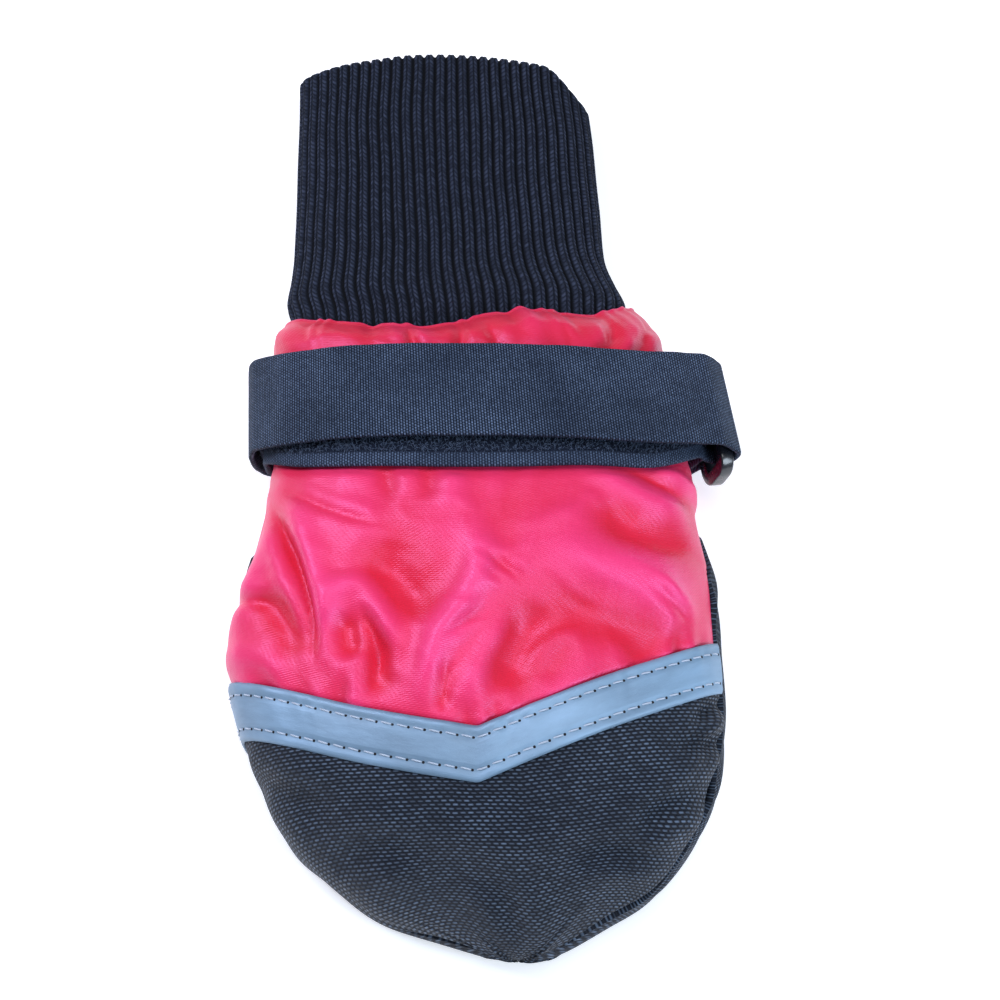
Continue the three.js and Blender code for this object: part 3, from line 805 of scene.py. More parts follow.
class Finish:
    """A material with one Principled shader, built from wires."""

    def __init__(self, name, **constants):
        self.material = bpy.data.materials.new(name)
        self.material.use_nodes = True
        self.tree = self.material.node_tree
        self.tree.nodes.clear()
        output = self.tree.nodes.new("ShaderNodeOutputMaterial")
        self.shader = self.tree.nodes.new("ShaderNodeBsdfPrincipled")
        self.tree.links.new(self.shader.outputs[0], output.inputs["Surface"])
        self.paint(**constants)

    def node(self, kind, settings, sockets, output=0):
        """Any node: its settings first, then the values or wires of its sockets."""
        made = self.tree.nodes.new(kind)
        for key, value in settings.items():
            setattr(made, key, value)
        for key, value in sockets.items():
            self.feed(made.inputs[key], value)
        return Wire(self, made.outputs[output])

    def feed(self, socket, value):
        if isinstance(value, Wire):
            self.tree.links.new(value.socket, socket)
        elif isinstance(value, (tuple, list)) and len(value) == 3 and socket.type == "RGBA":
            socket.default_value = (*value, 1)
        else:
            socket.default_value = value

    def paint(self, **sockets):
        """Sets or links the shader's own sockets: base_color means Base Color."""
        for key, value in sockets.items():
            self.feed(self.shader.inputs[key.replace("_", " ").title().replace("Ior", "IOR")], value)
        return self

    def math(self, operation, *values):
        return self.node("ShaderNodeMath", {"operation": operation}, dict(enumerate(values)))

    def mix(self, share, first, second):
        """A colour between two colours."""
        sockets = {"Factor": share, 6: first, 7: second}
        return self.node("ShaderNodeMix", {"data_type": "RGBA"}, sockets, output=2)

    def cloth(self):
        """Millimetres across and along the cloth, and both as a vector."""
        place = self.node("ShaderNodeUVMap", {"uv_map": CLOTH_UV}, {})
        parts = self.node("ShaderNodeSeparateXYZ", {}, {"Vector": place})
        return Wire(self, parts.socket.node.outputs[0]), Wire(self, parts.socket.node.outputs[1]), place

    def room(self):
        """The place in the frame, in metres."""
        return self.node("ShaderNodeTexCoord", {}, {}, output=3)

    def noise(self, place, scale, detail=2.0, roughness=0.5):
        sockets = {"Vector": place, "Scale": scale, "Detail": detail, "Roughness": roughness}
        return self.node("ShaderNodeTexNoise", {}, sockets)

    def vector(self, x, y, z=0.0):
        return self.node("ShaderNodeCombineXYZ", {}, {"X": x, "Y": y, "Z": z})

    def scatter(self, x, y):
        """A number from 0 to 1 that differs from cell to cell."""
        sockets = {"Vector": self.vector(x, y)}
        return self.node("ShaderNodeTexWhiteNoise", {"noise_dimensions": "2D"}, sockets)

    def bump(self, height, depth, strength=1.0):
        """Links a height from 0 to 1 to the shader's normal, with its depth in millimetres."""
        sockets = {"Strength": strength, "Distance": depth * MM, "Height": height}
        self.paint(normal=self.node("ShaderNodeBump", {}, sockets))
        return self


def satin_nylon(colours):
    """Satin: a fine twill line, faint broad streaks, tiny wrinkles, painted highlight in pink on the crowns
    of its folds and painted shade in a deeper red in their hollows."""
    finish = Finish("satin_nylon", ior=1.5, specular_ior_level=0.70, specular_tint=(1.0, 0.45, 0.95, 1))
    finish.paint(sheen_weight=0.05, sheen_roughness=0.35, sheen_tint=(1.0, 0.20, 0.70, 1))
    across, along, place = finish.cloth()
    relief = finish.node("ShaderNodeUVMap", {"uv_map": RELIEF_UV}, {})
    fold = Wire(finish, finish.node("ShaderNodeSeparateXYZ", {}, {"Vector": relief}).socket)
    twill = ((across * 0.8 + along * 1.4) * (2 * math.pi / 0.9)).sine() * 0.5 + 0.5
    yarn = (along * (2 * math.pi / 0.42)).sine() * 0.5 + 0.5
    streaks = finish.noise(finish.vector(across * 0.9, along * 0.16), 1.0, 3.0)
    wrinkles = finish.noise(finish.vector(across * 0.26, along * 0.36), 1.0, 4.0, 0.55)
    patches = finish.noise(place, 0.06, 2.0)
    # Painted shade and highlight: the fold heights darken the colour in hollows and lighten it on crowns.
    # Patches and streaks vary it at random.
    shade = (0.42 + fold * 0.34 + (patches - 0.5) * 0.8 + (streaks - 0.5) * 0.16).held()
    finish.paint(base_color=finish.mix(shade, tuple(colours.nylon_fold_shade), tuple(colours.nylon)))
    finish.paint(roughness=0.33 + 0.12 * streaks)
    return finish.bump(wrinkles * 0.30 + twill * 0.03 + yarn * 0.03 + streaks * 0.06, 0.6).material


def plain_weave(finish, across, along, length, pitch):
    """Plain weave of flat yarns: short dashes in staggered rows, with the other yarns showing between
    them. Returns its height and a mask of the dashes' crowns."""
    row = (along / pitch).floor()
    cell = across / length + row * 0.5
    from_middle = abs(cell.fraction() - 0.5) * 2
    from_row = abs((along / pitch).fraction() - 0.5) * 2
    dash = (1 - from_middle**3.2).held() * (1 - from_row**2.0).held()
    between = from_middle**4 * (1 - 0.6 * from_row)
    height = dash.highest(between * 0.55)
    tone = finish.scatter(cell.floor(), row)
    return height, dash.step(0.52, 1.0) * (0.35 + 0.65 * tone)


def woven_cloth(name, colours, gloss):
    """Coarse coated weave of the toe cap and the sole, with painted highlights on the crowns of its dashes.
    """
    finish = Finish(name, specular_ior_level=0.32)
    across, along, place = finish.cloth()
    drift = finish.noise(place, 0.11, 2.0) - 0.5
    height, crowns = plain_weave(finish, across + drift * 0.8, along + drift * 0.9, 1.36, 0.74)
    # Painted highlight: glints on the dash crowns, stronger in some broad patches and fainter in others.
    glint_patches = finish.noise(place, 0.05, 3.0)
    glint = (crowns * (0.10 + glint_patches * 1.35)).held()
    finish.paint(base_color=finish.mix(glint, tuple(colours.weave), tuple(colours.weave_glint)))
    finish.paint(roughness=gloss + 0.22 * (1 - crowns))
    return finish, height


def cap_cloth(colours):
    finish, height = woven_cloth("toe_cap_weave", colours, 0.42)
    return finish.bump(height, 0.42).material


def sole_cloth(colours):
    """The same weave, with rows of small rubber grip dots, as a bump only, on the part that meets the
    floor.
    """
    finish, height = woven_cloth("sole_weave", colours, 0.50)
    parts = finish.node("ShaderNodeSeparateXYZ", {}, {"Vector": finish.room()}).socket.node.outputs
    x, y, z = (Wire(finish, part) / MM for part in parts)
    row = (y / 4.2).floor()
    dot_x = ((x / 4.8 + row * 0.5).fraction() - 0.5) * 4.8
    dot_y = ((y / 4.2).fraction() - 0.5) * 4.2
    reach = (dot_x * dot_x + dot_y * dot_y) ** 0.5
    dot = (1 - reach.step(0.95, 1.35)) * (1 - z.step(0.6, 1.4))
    return finish.bump(height * (1 - dot) * 0.4 + dot, 0.7).material


def rib_knit(colours):
    """Rib knit: each rib is two columns of slanted stitches that lean towards each other, with a dark
    groove between ribs and a faint one down each rib's middle, both painted as shade, and the stitch crowns
    painted lighter as highlight."""
    finish = Finish("rib_knit", specular_ior_level=0.14)
    rib, along, _ = finish.cloth()
    half = abs(rib.fraction() - 0.5)
    groove = half.step(0.30, 0.46)
    middle = 1 - half.step(0.0, 0.09)
    from_column = abs(half - 0.20) * 4.6
    slanted = along / 1.15 + half * 1.9
    stitch = abs((slanted * math.pi).sine()) ** 0.8
    rounded = (1 - from_column**2).held()
    fuzz = finish.noise(finish.vector(rib * 2.6, along), 3.4, 4.0, 0.65)
    height = stitch * rounded * 0.8 + fuzz * 0.35 - middle * 0.35
    tone = finish.scatter((rib * 2).floor(), slanted.floor())
    # Painted highlight on the stitch crowns and fuzz, varied at random from stitch to stitch. Painted shade
    # down each rib's middle and in the grooves.
    light = (stitch * rounded * (0.12 + 0.55 * tone) + (fuzz - 0.42) * 0.9 - middle * 0.3) * (1 - groove)
    bright = tuple(5.2 * c + 0.012 for c in colours.knit)
    dark = tuple(0.20 * c for c in colours.knit)
    lit = finish.mix(light.held(), tuple(colours.knit), bright)
    finish.paint(base_color=finish.mix(groove, lit, dark), roughness=0.72 + 0.2 * fuzz)
    return finish.bump(height, 0.5).material


def strap_tape(colours):
    """Hook-and-loop tape. Its ribbed back has fine cross ribs broken into dots, and its other face is
    matted pile between plain selvedges. Glints are painted on the dots, the coils and the selvedges as
    highlight."""
    finish = Finish("strap_tape", specular_ior_level=0.16)
    along, across, place = finish.cloth()
    back = across.above(FACE_SHIFT / 2)
    lane = across - back * FACE_SHIFT
    rib = along / 0.57
    row = (lane / 0.64 + rib.floor() * 0.5).floor()
    dots = abs(((lane / 0.64 + rib.floor() * 0.5) * math.pi).sine())
    ridge = abs((rib * math.pi).sine()) ** 0.8
    ribbed = ridge * (0.40 + 0.60 * dots)
    edge = abs(lane).step(7.6, 8.1)
    mat = finish.noise(finish.vector(along, lane), 2.2, 4.0, 0.7)
    coil = finish.noise(finish.vector(along, lane), 5.0, 2.0, 0.6)
    pile = (mat * 0.7 + coil * 0.6) * (1 - edge) + ribbed * 0.5 * edge
    height = ribbed * back + pile * (1 - back)
    tone = finish.scatter(rib.floor(), row)
    # Painted highlight: glints on the rib dots, varied at random and stronger in broad patches. The pile's
    # coils and the selvedges are lightened the same way.
    glint_patches = finish.noise(place, 0.07, 3.0)
    glints = ribbed**2.2 * (0.70 + 0.60 * tone) * (0.16 + glint_patches * 1.15)
    plush = (coil.step(0.55, 0.85) * 0.30) * (1 - edge) + glints * 0.8 * edge
    shine = glints * back + plush * (1 - back)
    finish.paint(base_color=finish.mix(shine.held(), tuple(colours.strap), tuple(colours.strap_glint)))
    finish.paint(roughness=0.60 + 0.2 * mat)
    return finish.bump(height, 0.42).material


def webbing(colours):
    """Flat webbing of the tab: a herringbone of coarse yarns."""
    finish = Finish("tab_webbing", specular_ior_level=0.4)
    along, across, place = finish.cloth()
    lean = abs((across / 4.2).fraction() - 0.5) * 3
    yarn = abs(((along / 0.9 + lean) * math.pi).sine())
    fuzz = finish.noise(place, 3.0, 3.0)
    # Painted highlight: the yarn crowns are mixed towards the glint colour, more where the fuzz is high.
    light = (yarn * (0.3 + fuzz * 0.5)).held()
    finish.paint(base_color=finish.mix(light, tuple(colours.strap), tuple(colours.strap_glint)))
    finish.paint(roughness=0.60 + 0.2 * fuzz)
    return finish.bump(yarn * 0.8 + fuzz * 0.2, 0.25).material


def reflective_face(colours):
    """Reflective tape: a fine bead grain, soft mottling, scuffs, and dents along its two stitch rows, with
    painted shade in the dents.
    """
    finish = Finish("reflective_face", metallic=0.25, specular_ior_level=0.5, coat_weight=0.15)
    finish.paint(coat_roughness=0.35)
    along, across, place = finish.cloth()
    beads = finish.noise(place, 7.0, 2.0, 0.6)
    broad = finish.noise(place, 0.045, 1.0)
    mottling = finish.noise(finish.vector(along * 0.10, across * 0.30), 1.0, 4.0, 0.6)
    scuff = finish.noise(finish.vector(along * 0.9, across * 3.0), 1.0, 3.0).step(0.64, 0.74)
    row_a = 1 - abs(across - STITCH_INSET).step(0.15, 1.1)
    row_b = 1 - abs(across - (TAPE_SPAN - STITCH_INSET)).step(0.15, 1.1)
    rows = row_a + row_b
    light = tuple(min(1, 1.32 * c) for c in colours.tape)
    dark = tuple(0.70 * c for c in colours.tape)
    clouds = (mottling - 0.5) * 0.9 + (broad - 0.5) * 1.6 + 0.5
    # Painted shade in the stitch-row dents. The clouds and beads vary the tone at random, and the scuffs
    # darken it.
    shade = (clouds + (beads - 0.5) * 0.25 - rows * 0.18 - scuff * 0.15).held()
    finish.paint(base_color=finish.mix(shade, dark, light), roughness=0.40 + 0.22 * beads)
    return finish.bump(beads * 0.10 + mottling * 0.5 - rows * 0.45, 0.4).material


TAPE_SPAN = 10.4
STITCH_INSET = 2.1


def plain_finish(name, colour, roughness, grain, depth, **constants):
    """A plain colour with a fine grain that moves its colour, its gloss and its surface."""
    finish = Finish(name, **constants)
    speck = finish.noise(finish.room(), grain, 3.0, 0.6)
    dark = tuple(0.75 * c for c in colour)
    light = tuple(min(1, 1.25 * c) for c in colour)
    finish.paint(base_color=finish.mix(speck, dark, light), roughness=roughness - 0.08 + 0.16 * speck)
    return finish.bump(speck, depth).material


def thread_finish(name, colour):
    """Twisted thread: slanting plies round each stitch."""
    finish = Finish(name, roughness=0.5, sheen_weight=0.1, specular_ior_level=0.4)
    ring, corner, _ = finish.cloth()
    ply = abs(((ring * 0.55 + corner * 0.5) * math.pi).sine())
    # Painted shade: the thread darkens between its plies, in the grooves of the twist.
    dark = tuple(0.55 * c for c in colour)
    finish.paint(base_color=finish.mix(ply, dark, tuple(colour)))
    return finish.bump(ply, 0.08).material


# ---------------------------------------------------------------- the pieces


def strap_station(turn):
    """Station of the strap's inner run round the ankle, and of the tab where there is no strap."""
    first = STRAP_ROUTE[:11]
    degrees = np.degrees(np.mod(turn, 2 * math.pi))
    around = np.interp(degrees, first[::-1, 0], first[::-1, 2])
    return np.where((degrees > 285) | (degrees < 8), RING_Y, around)


def sharpened(wave):
    """Narrow crests and wide hollows from an even wave."""
    return (np.exp(1.15 * wave) - 1.36) / 1.8


def rumple(points):
    """Soft folds all over the nylon: waves that slant down to the chevron's point from both sides, their
    lines bent by slower waves, with lower ones across them."""
    x, y = points[..., 0], points[..., 1]
    turn = 2 * math.pi
    u = x + 3.6 * np.sin(turn * y / 33 + 1.1) + 1.8 * np.sin(turn * (x + y) / 21 + 0.4)
    v = y + 3.8 * np.sin(turn * x / 39 + 2.0) + 1.6 * np.sin(turn * (x - y) / 25 + 2.6)
    left = np.sin(turn * (u / 23 + v / 30) + 0.6) * smooth(10, -12, x)
    right = np.sin(turn * (u / 27 - v / 21) + 1.4) * smooth(-8, 12, x)
    cross = np.sin(turn * (u / 15 + v / 9.5) + 2.2) * np.sin(turn * (u - 2 * v) / 61 + 1)
    return 0.30 * sharpened(left + right) + 0.16 * sharpened(cross)


def lobes(points):
    """Full places of the nylon and drawn-in ones, as round mounds and dips, each a bell in plan."""
    mounds = [(-50, 15, 9, 8, 0.7), (-47, 34, 6, 9, -1.3), (48, 36, 6, 9, -1.0), (14, 84, 16, 7, 0.6)]
    x, y = points[..., 0], points[..., 1]
    top = smooth(4, 10, points[..., 2])
    return top * sum(h * np.exp(-(((x - a) / w) ** 2) - ((y - b) / d) ** 2) for a, b, w, d, h in mounds)


def sole_share(points):
    """1 where the nylon is hidden behind the sole, 0 where it shows, with a short soft step."""
    x, y, z = (points[..., k] for k in range(3))
    return smooth(1.3, 0.2, z - seam_height(x, y)) * smooth(1.2, -0.3, y - sole_end(x, z))


def nylon_height(points, normals, turn, sizes):
    """How far the nylon stands off the last, and the part of it that is folds: a puffed pillow between
    tape and strap, pressed in under the strap, gathered along the tape, the strap and the collar, and
    creased along the listed lines."""
    x, y = points[..., 0], points[..., 1]
    arc = arc_at(np.where(turn > 1.5 * math.pi, turn - 2 * math.pi, turn))
    behind_tape = y - tape_front(x) - TAPE_WIDTH
    from_strap = y - strap_station(turn)
    half_strap = sizes.strap_width / MM / 2
    ahead = np.clip(-from_strap - half_strap, 0, None)
    after = np.clip(from_strap - half_strap, 0, None)
    to_collar = COLLAR_Y - y
    puff = sizes.puff / MM
    pillow = puff * (0.62 + 0.38 * smooth(0, 9, behind_tape)) * (0.45 + 0.55 * smooth(0, 14, ahead))
    height = np.where(from_strap < 0, pillow, 0.45 * puff * smooth(0, 4, after))
    height = height * (0.15 + 0.85 * smooth(14, 26, points[..., 2]))
    open_cloth = smooth(0, 7, behind_tape) * (0.35 + 0.65 * smooth(0, 9, ahead + 1.5 * after))
    folds = (rumple(points) + 0.14 * undulation(points, 17, 2.4)) * open_cloth
    fade_tape = np.exp(-np.clip(behind_tape, 0, None) / 4.0)
    folds += 0.75 * fade_tape * gathers(arc, 9.5, 0.4)
    fade_strap = np.exp(-ahead / 8) * (from_strap < 0)
    folds += 0.32 * fade_strap * gathers(arc, 12.0, 1.3)
    near_collar = np.exp(-np.clip(to_collar, 0, None) / 8.0)
    folds += 0.45 * near_collar * gathers(arc, 13.0, 2.2) + 0.22 * near_collar * gathers(arc, 5.3, 0.9)
    folds += all_creases(points, normals, NYLON_CREASES, 0.0, sizes.crease)
    height = height + lobes(points) + folds
    # Painted shade: behind the strap the fold heights kept for the colour are lowered. This deepens the
    # nylon's red there without moving the cloth.
    folds -= 1.2 * smooth(0, 4, after) * (from_strap > 0)
    height = np.where(from_strap > 0, np.maximum(height, -0.3 + 0.4 * smooth(80, 88, y)), height)
    under = smooth(7.5, 3.5, points[..., 2])
    height = height * (1 - under) + np.clip(0.25 * height, -0.4, 0.5) * under
    pressed = smooth(half_strap + 3.0, half_strap - 0.8, np.abs(from_strap))
    height = height * (1 - pressed) + np.clip(height * 0.12 - 0.45, -1.0, 0.15) * pressed
    tucked = smooth(1.1, -0.9, behind_tape)
    height = height * (1 - tucked) - 0.5 * tucked
    seam = np.exp(-(((points[..., 2] - seam_height(x, y)) / 2.2) ** 2)) * smooth(3, -1, y - heel_line(x))
    height = height * (1 - 0.8 * seam)
    band = np.exp(-(((points[..., 2] - seam_height(x, y)) / 5.5) ** 2)) * smooth(20, 40, x)
    height = height * (1 - band * smooth(4, -1, y - heel_line(x))) + 0.35 * band
    below = sole_share(points)
    return height * (1 - below) - 1.5 * below, folds


# How far the collar's edge lies behind its own station, by the place across.
COLLAR_WAVE = np.array(
    [(-44, -1.8), (-38, -2.4), (-30, -4.6), (-20, -6.4), (-14, -6.9), (-4, -5.4), (4, -3.6), (13, -2.6),
     (22, -2.9), (28, -1.0), (33, 2.0), (37, 2.6), (42, 1.2)]
)


def paw_pocket_grid(sizes, columns=400, rows=152, inner_rows=12):
    """Outer face from under the tape to the collar, a rolled collar edge, and the inner face back."""
    turn = all_round(columns)[None]
    share = np.linspace(0, 1, rows)[:, None]
    x = last_point(turn, 12.0, 0)[..., 0]
    for _ in range(2):
        start = tape_front(x) + TAPE_WIDTH - 5
        x = last_point(turn, start, 0)[..., 0]
    y = start + (COLLAR_Y - start) * share
    turn_grid = np.broadcast_to(turn, y.shape)
    base = last_point(turn_grid, y, 0)
    normals = grid_normals(base)
    height, folds = nylon_height(base, normals, turn_grid, sizes)
    outer = base + normals * height[..., None]
    bend = np.radians([25, 50, 75, 100, 130, 160])
    arc = arc_at(turn[0])
    lip = through_rows(COLLAR_WAVE, outer[-1, :, 0])[:, 0] * smooth(4, 12, outer[-1, :, 2])
    lip = lip + 0.22 * gathers(arc, 9.0, 2.2)
    outer[..., 1] += smooth(74, 92, y) * lip
    roll = []
    for angle in bend:
        inwards = 1.3 - 1.3 * math.cos(angle) + (0.5 if angle > 1.8 else 0)
        rim = outer[-1] - normals[-1] * inwards
        rim[:, 1] += 1.3 * math.sin(angle)
        roll.append(rim)
    back = np.linspace(0.04, 1, inner_rows)[:, None]
    inner_y = COLLAR_Y + (start - COLLAR_Y) * back
    inner_y = inner_y + lip * smooth(0.5, 0, back)
    inner = last_point(np.broadcast_to(turn, inner_y.shape), inner_y, POCKET_INNER_OUT)
    points = np.concatenate([outer, np.array(roll), inner])
    relief = np.zeros(points.shape[:2])
    relief[: len(folds)] = folds
    return points, relief


def make_paw_pocket(sizes, colours):
    points, relief = paw_pocket_grid(sizes)
    crown = points.shape[1] // 2
    uv = draped_uv(points, crown, wrap_rows=True, wrap_columns=True)
    material = satin_nylon(colours)
    obj = grid_object("nylon_pocket", points, uv, material, True, True, section_axis, relief)
    return place(obj, "nylon", "upper")


# The tip of the toe is flatter than round on both flanks: the middle, depth and half width of each flat.
TOE_FLATS = ((-6.0, 2.2, 11.0), (25.0, 3.2, 11.0))


def drawn_in(points):
    """Points of the toe drawn back to its flattened flanks, fully at the tip and less behind it."""
    back = sum(depth * np.exp(-(((points[..., 0] - x) / half) ** 2)) for x, depth, half in TOE_FLATS)
    moved = points.copy()
    moved[..., 1] += back * smooth(-22, -42, points[..., 1])
    return moved


def make_lining(sizes, colours):
    """A thin quilted lining just inside the pocket, from the toe to the collar."""
    turn = all_round(150)[None]
    angle = np.linspace(0.03, math.pi / 2, 26)
    toe = BALL_Y - (TOE_LENGTH - 2) * np.cos(angle)
    y = np.concatenate([toe, np.linspace(BALL_Y + 2, COLLAR_Y - 11, 36)])[:, None]
    turn_grid = np.broadcast_to(turn, (len(y), turn.shape[1]))
    channels = np.abs(np.sin(y / QUILT_PITCH * math.pi)) ** 0.5
    channels = channels * np.abs(np.sin(arc_at(turn) / QUILT_PITCH * math.pi)) ** 0.5
    quilt = LINING_OUT - QUILT_DEPTH * channels
    points = drawn_in(last_point(turn_grid, y, quilt))
    uv = draped_uv(points, 75, wrap_columns=True)
    material = plain_finish("lining_cloth", tuple(colours.lining), 0.85, 1800, 0.2)
    obj = grid_object("lining", points, uv, material, wrap_columns=True, outward=section_axis)
    return place(wall(obj, 0.35), "nylon")


def arched_grid(out, front_y, back_line, rows, columns, over, lift=0.0):
    """A grid over or under the toe between the two side seams. Its stations crowd together at the
    front as the squares of their order, and its columns are even along the arc."""
    table_y = np.linspace(front_y, 62, 160)
    right = arc_at(seam_turn(table_y, out, 1, lift))
    left = arc_at(seam_turn(table_y, out, -1, lift))
    if not over:
        perimeter = arc_at(math.radians(270)) - arc_at(math.radians(-90))
        left = left - perimeter
    share = (1 - np.cos(np.linspace(0, 1, rows) * math.pi / 2))[:, None]
    across = np.linspace(0, 1, columns)[None]
    back = np.full((1, columns), 20.0)
    for _ in range(5):
        y = front_y + (back - front_y) * share
        arc = np.interp(y, table_y, right) * (1 - across) + np.interp(y, table_y, left) * across
        turn = turn_at(arc)
        back = back_line(last_point(turn[-1:], y[-1:], out)[..., 0])
    return turn, y, arc


def seam_front(out):
    """Station at which the crown of the toe meets the side seam."""
    y = np.linspace(BALL_Y - TOE_LENGTH - out + 0.01, -20, 4000)
    crown = last_point(math.pi / 2, y, out)
    return y[np.argmax(crown[:, 2] > seam_height(crown[:, 0], y))]


def seam_dip(points, near):
    """Cloth drawn in along a seam: deepest on the seam and gone a few millimetres away."""
    above = np.abs(points[..., 2] - seam_height(points[..., 0], points[..., 1]))
    return -near * np.exp(-((above / 1.6) ** 2))


def flat_cut_uv(turn, y):
    """Millimetres across and along a cloth that was cut flat: the arc from the crown, drawn in as the
    toe's section shrinks, and the way along the crown at that station. On the +X side the cloth is
    turned a little."""
    ahead = np.clip((BALL_Y - y) / TOE_LENGTH, 0, 1)
    across = -arc_at(turn) * np.sqrt(1 - 0.92 * ahead**2)
    table = np.linspace(BALL_Y - TOE_LENGTH - 3, 60, 400)
    crown = last_point(math.pi / 2, table, CAP_OUT)
    run = np.concatenate([[0], np.cumsum(np.linalg.norm(np.diff(crown, axis=0), axis=1))])
    along = np.interp(y, table, run) - 0.16 * np.clip(across - 6, 0, None)
    return np.stack([across, along], -1)


def make_toe_cap(sizes, colours):
    """The woven cap: from the side seams over the top, and back until it is under the tape."""
    turn, y, arc = arched_grid(
        CAP_OUT,
        seam_front(CAP_OUT),
        lambda x: tape_front(x) + TAPE_WIDTH - 0.8,
        118,
        300,
        over=True,
        lift=0.1,
    )
    base = last_point(turn, y, CAP_OUT)
    normals = grid_normals(base)
    ahead_of_tape = tape_front(base[..., 0]) - y
    free = smooth(-1.5, 4.0, ahead_of_tape)
    near_seam = np.exp(-np.abs(base[..., 2] - seam_height(base[..., 0], base[..., 1])) / 5.0)
    height = 0.50 * undulation(base, 30, 3.3) + 0.20 * undulation(base, 13, 1.2)
    height += 0.55 * near_seam * gathers(arc + y * 0.6, 9.5, 1.9)
    height += all_creases(base, normals, CAP_CREASES, CAP_OUT, sizes.crease)
    height = height * free + seam_dip(base, 1.0) - 0.25
    points = drawn_in(base + normals * height[..., None])
    uv = flat_cut_uv(turn, y)
    obj = grid_object("toe_cap_cloth", points, uv, cap_cloth(colours), outward=section_axis)
    return place(wall(obj, 0.9), "cap_fabric", "toe_cap")


HEM = 2.4  # from the sole's rear edge to its row of stitches


def make_sole(sizes, colours):
    """The woven sole: from seam to seam under the foot, from the toe to its bowed rear edge."""
    front = BALL_Y - TOE_LENGTH - CAP_OUT + 0.02
    turn, y, arc = arched_grid(CAP_OUT, front, heel_line, 120, 280, over=False)
    for _ in range(3):
        base = last_point(turn, y, CAP_OUT)
        last_row = sole_end(base[-1, :, 0], base[-1, :, 2])
        share = (y - front) / (y[-1:] - front)
        y = front + (last_row[None] - front) * share
    base = last_point(turn, y, CAP_OUT)
    normals = grid_normals(base)
    off_floor = smooth(0.4, 4.0, base[..., 2])
    height = 0.30 * undulation(base, 24, 5.1) * off_floor
    height += 0.30 * off_floor * gathers(arc + y * 0.5, 8.5, 0.7)
    height = height + seam_dip(base, 0.5) + 0.15 * smooth(25, 45, base[..., 0]) * off_floor
    height -= 0.55 * np.exp(-(((heel_line(base[..., 0]) - y) / 1.2) ** 2))
    points = drawn_in(base + normals * height[..., None])
    channel = 0.5 * np.exp(-(((heel_line(base[..., 0]) - HEM - y) / 0.9) ** 2))
    points[..., 2] = np.maximum(points[..., 2], channel)
    uv = draped_uv(points, points.shape[1] // 2)
    obj = grid_object("sole_cloth", points, uv, sole_cloth(colours), outward=section_axis)
    place(wall(obj, 1.9), "sole_fabric", "sole")
    x = np.linspace(-38, 38, 200)
    line = np.column_stack([x, heel_line(x) - HEM, np.full_like(x, 0.45)])
    down = np.tile([0.0, 0.0, -1.0], (len(x), 1))
    thread = thread_finish("sole_thread", tuple(colours.dark_thread))
    row, _, _ = stitches("sole_stitches", line, down, 3.0, sizes.thread / MM, thread, 0.2)
    return place(row, "sole_fabric")


def tape_line(back, out, count=900):
    """Turns and stations of a line across the top, "back" behind the chevron's front edge, from one
    side seam to the other."""
    y = np.full(count, 8.0)
    share = np.linspace(0, 1, count)
    for _ in range(6):
        right = arc_at(seam_turn(y[:1], out, 1, 3.0))
        left = arc_at(seam_turn(y[-1:], out, -1, 0.4))
        turn = turn_at(right + (left - right) * share)
        y = tape_front(last_point(turn, y, out)[:, 0]) + back
    return turn, y


def make_tape(sizes, colours):
    """The reflective chevron, its two stitch rows and their needle holes."""
    backs = np.linspace(0, TAPE_WIDTH, 15)
    lines = [tape_line(back, TAPE_OUT) for back in backs]
    base = np.array([last_point(turn, y, TAPE_OUT) for turn, y in lines])
    normals = grid_normals(base)
    share = backs[:, None] / TAPE_WIDTH
    arc = arc_at(lines[7][0])[None]
    dents = -0.16 * np.exp(-(((share - 0.2) / 0.07) ** 2)) - 0.16 * np.exp(-(((share - 0.8) / 0.07) ** 2))
    ripple = 0.20 * gathers(arc, 13, 0.8) * (0.4 + share) + 0.12 * gathers(arc, 5.2, 2.0) * share**2
    edges = -0.35 * (np.abs(share - 0.5) * 2) ** 8
    points = base + normals * (dents + ripple + edges)[..., None]
    uv = draped_uv(points, points.shape[1] // 2)
    uv = np.stack([uv[..., 0], np.broadcast_to(share * TAPE_SPAN, uv.shape[:2])], -1)
    obj = grid_object("reflective_chevron", points, uv, reflective_face(colours), outward=section_axis)
    place(wall(obj, 0.5), "reflective", "reflective_tape")
    thread = thread_finish("tape_thread", tuple(colours.thread))
    # Painted shade: near-black domes stand for the shade inside the needle holes.
    black = plain_finish("needle_hole", (0.006, 0.007, 0.010), 0.9, 2000, 0.02)
    for order, row in enumerate((3, 11)):
        name = ("front", "rear")[order]
        at = points[row] + normals[row] * 0.02
        args = (at, normals[row], sizes.stitch_pitch / MM, sizes.thread / MM, thread, 0.42)
        made, ends, outward = stitches(f"tape_stitches_{name}", *args)
        place(made, "reflective")
        pricked = ends[::2] + outward[::2] * 0.24
        holes = needle_holes(f"tape_needle_holes_{name}", pricked, outward[::2], 0.30, black)
        place(holes, "reflective")


def cuff_droop(across):
    """How far the rim falls back: a soft peak across it, and a rolled corner on the +X side."""
    return 2.6 * np.abs(across) ** 1.4 + 1.0 * across**2 + 8.5 * smooth(0.68, 1.05, across)


def cuff_ring(turn, station, out):
    """A ring of the slack cuff: its section at the station, grown by "out", its rim drooping."""
    rows = through_rows(CUFF, np.asarray(station, float))
    centre, half, crown, under, side = (rows[..., i] for i in range(5))
    grown = (centre, half + out, crown + out, np.maximum(under, 0) - out, side)
    point = section_point(turn, station, grown, CUFF_POWERS)
    across = np.clip((point[..., 0] - centre) / half, -1, 1)
    rim = np.clip((station - CUFF_RIM_START) / (CUFF[-1, 0] - CUFF_RIM_START), 0, 1)
    point[..., 1] -= cuff_droop(across) * rim
    return point


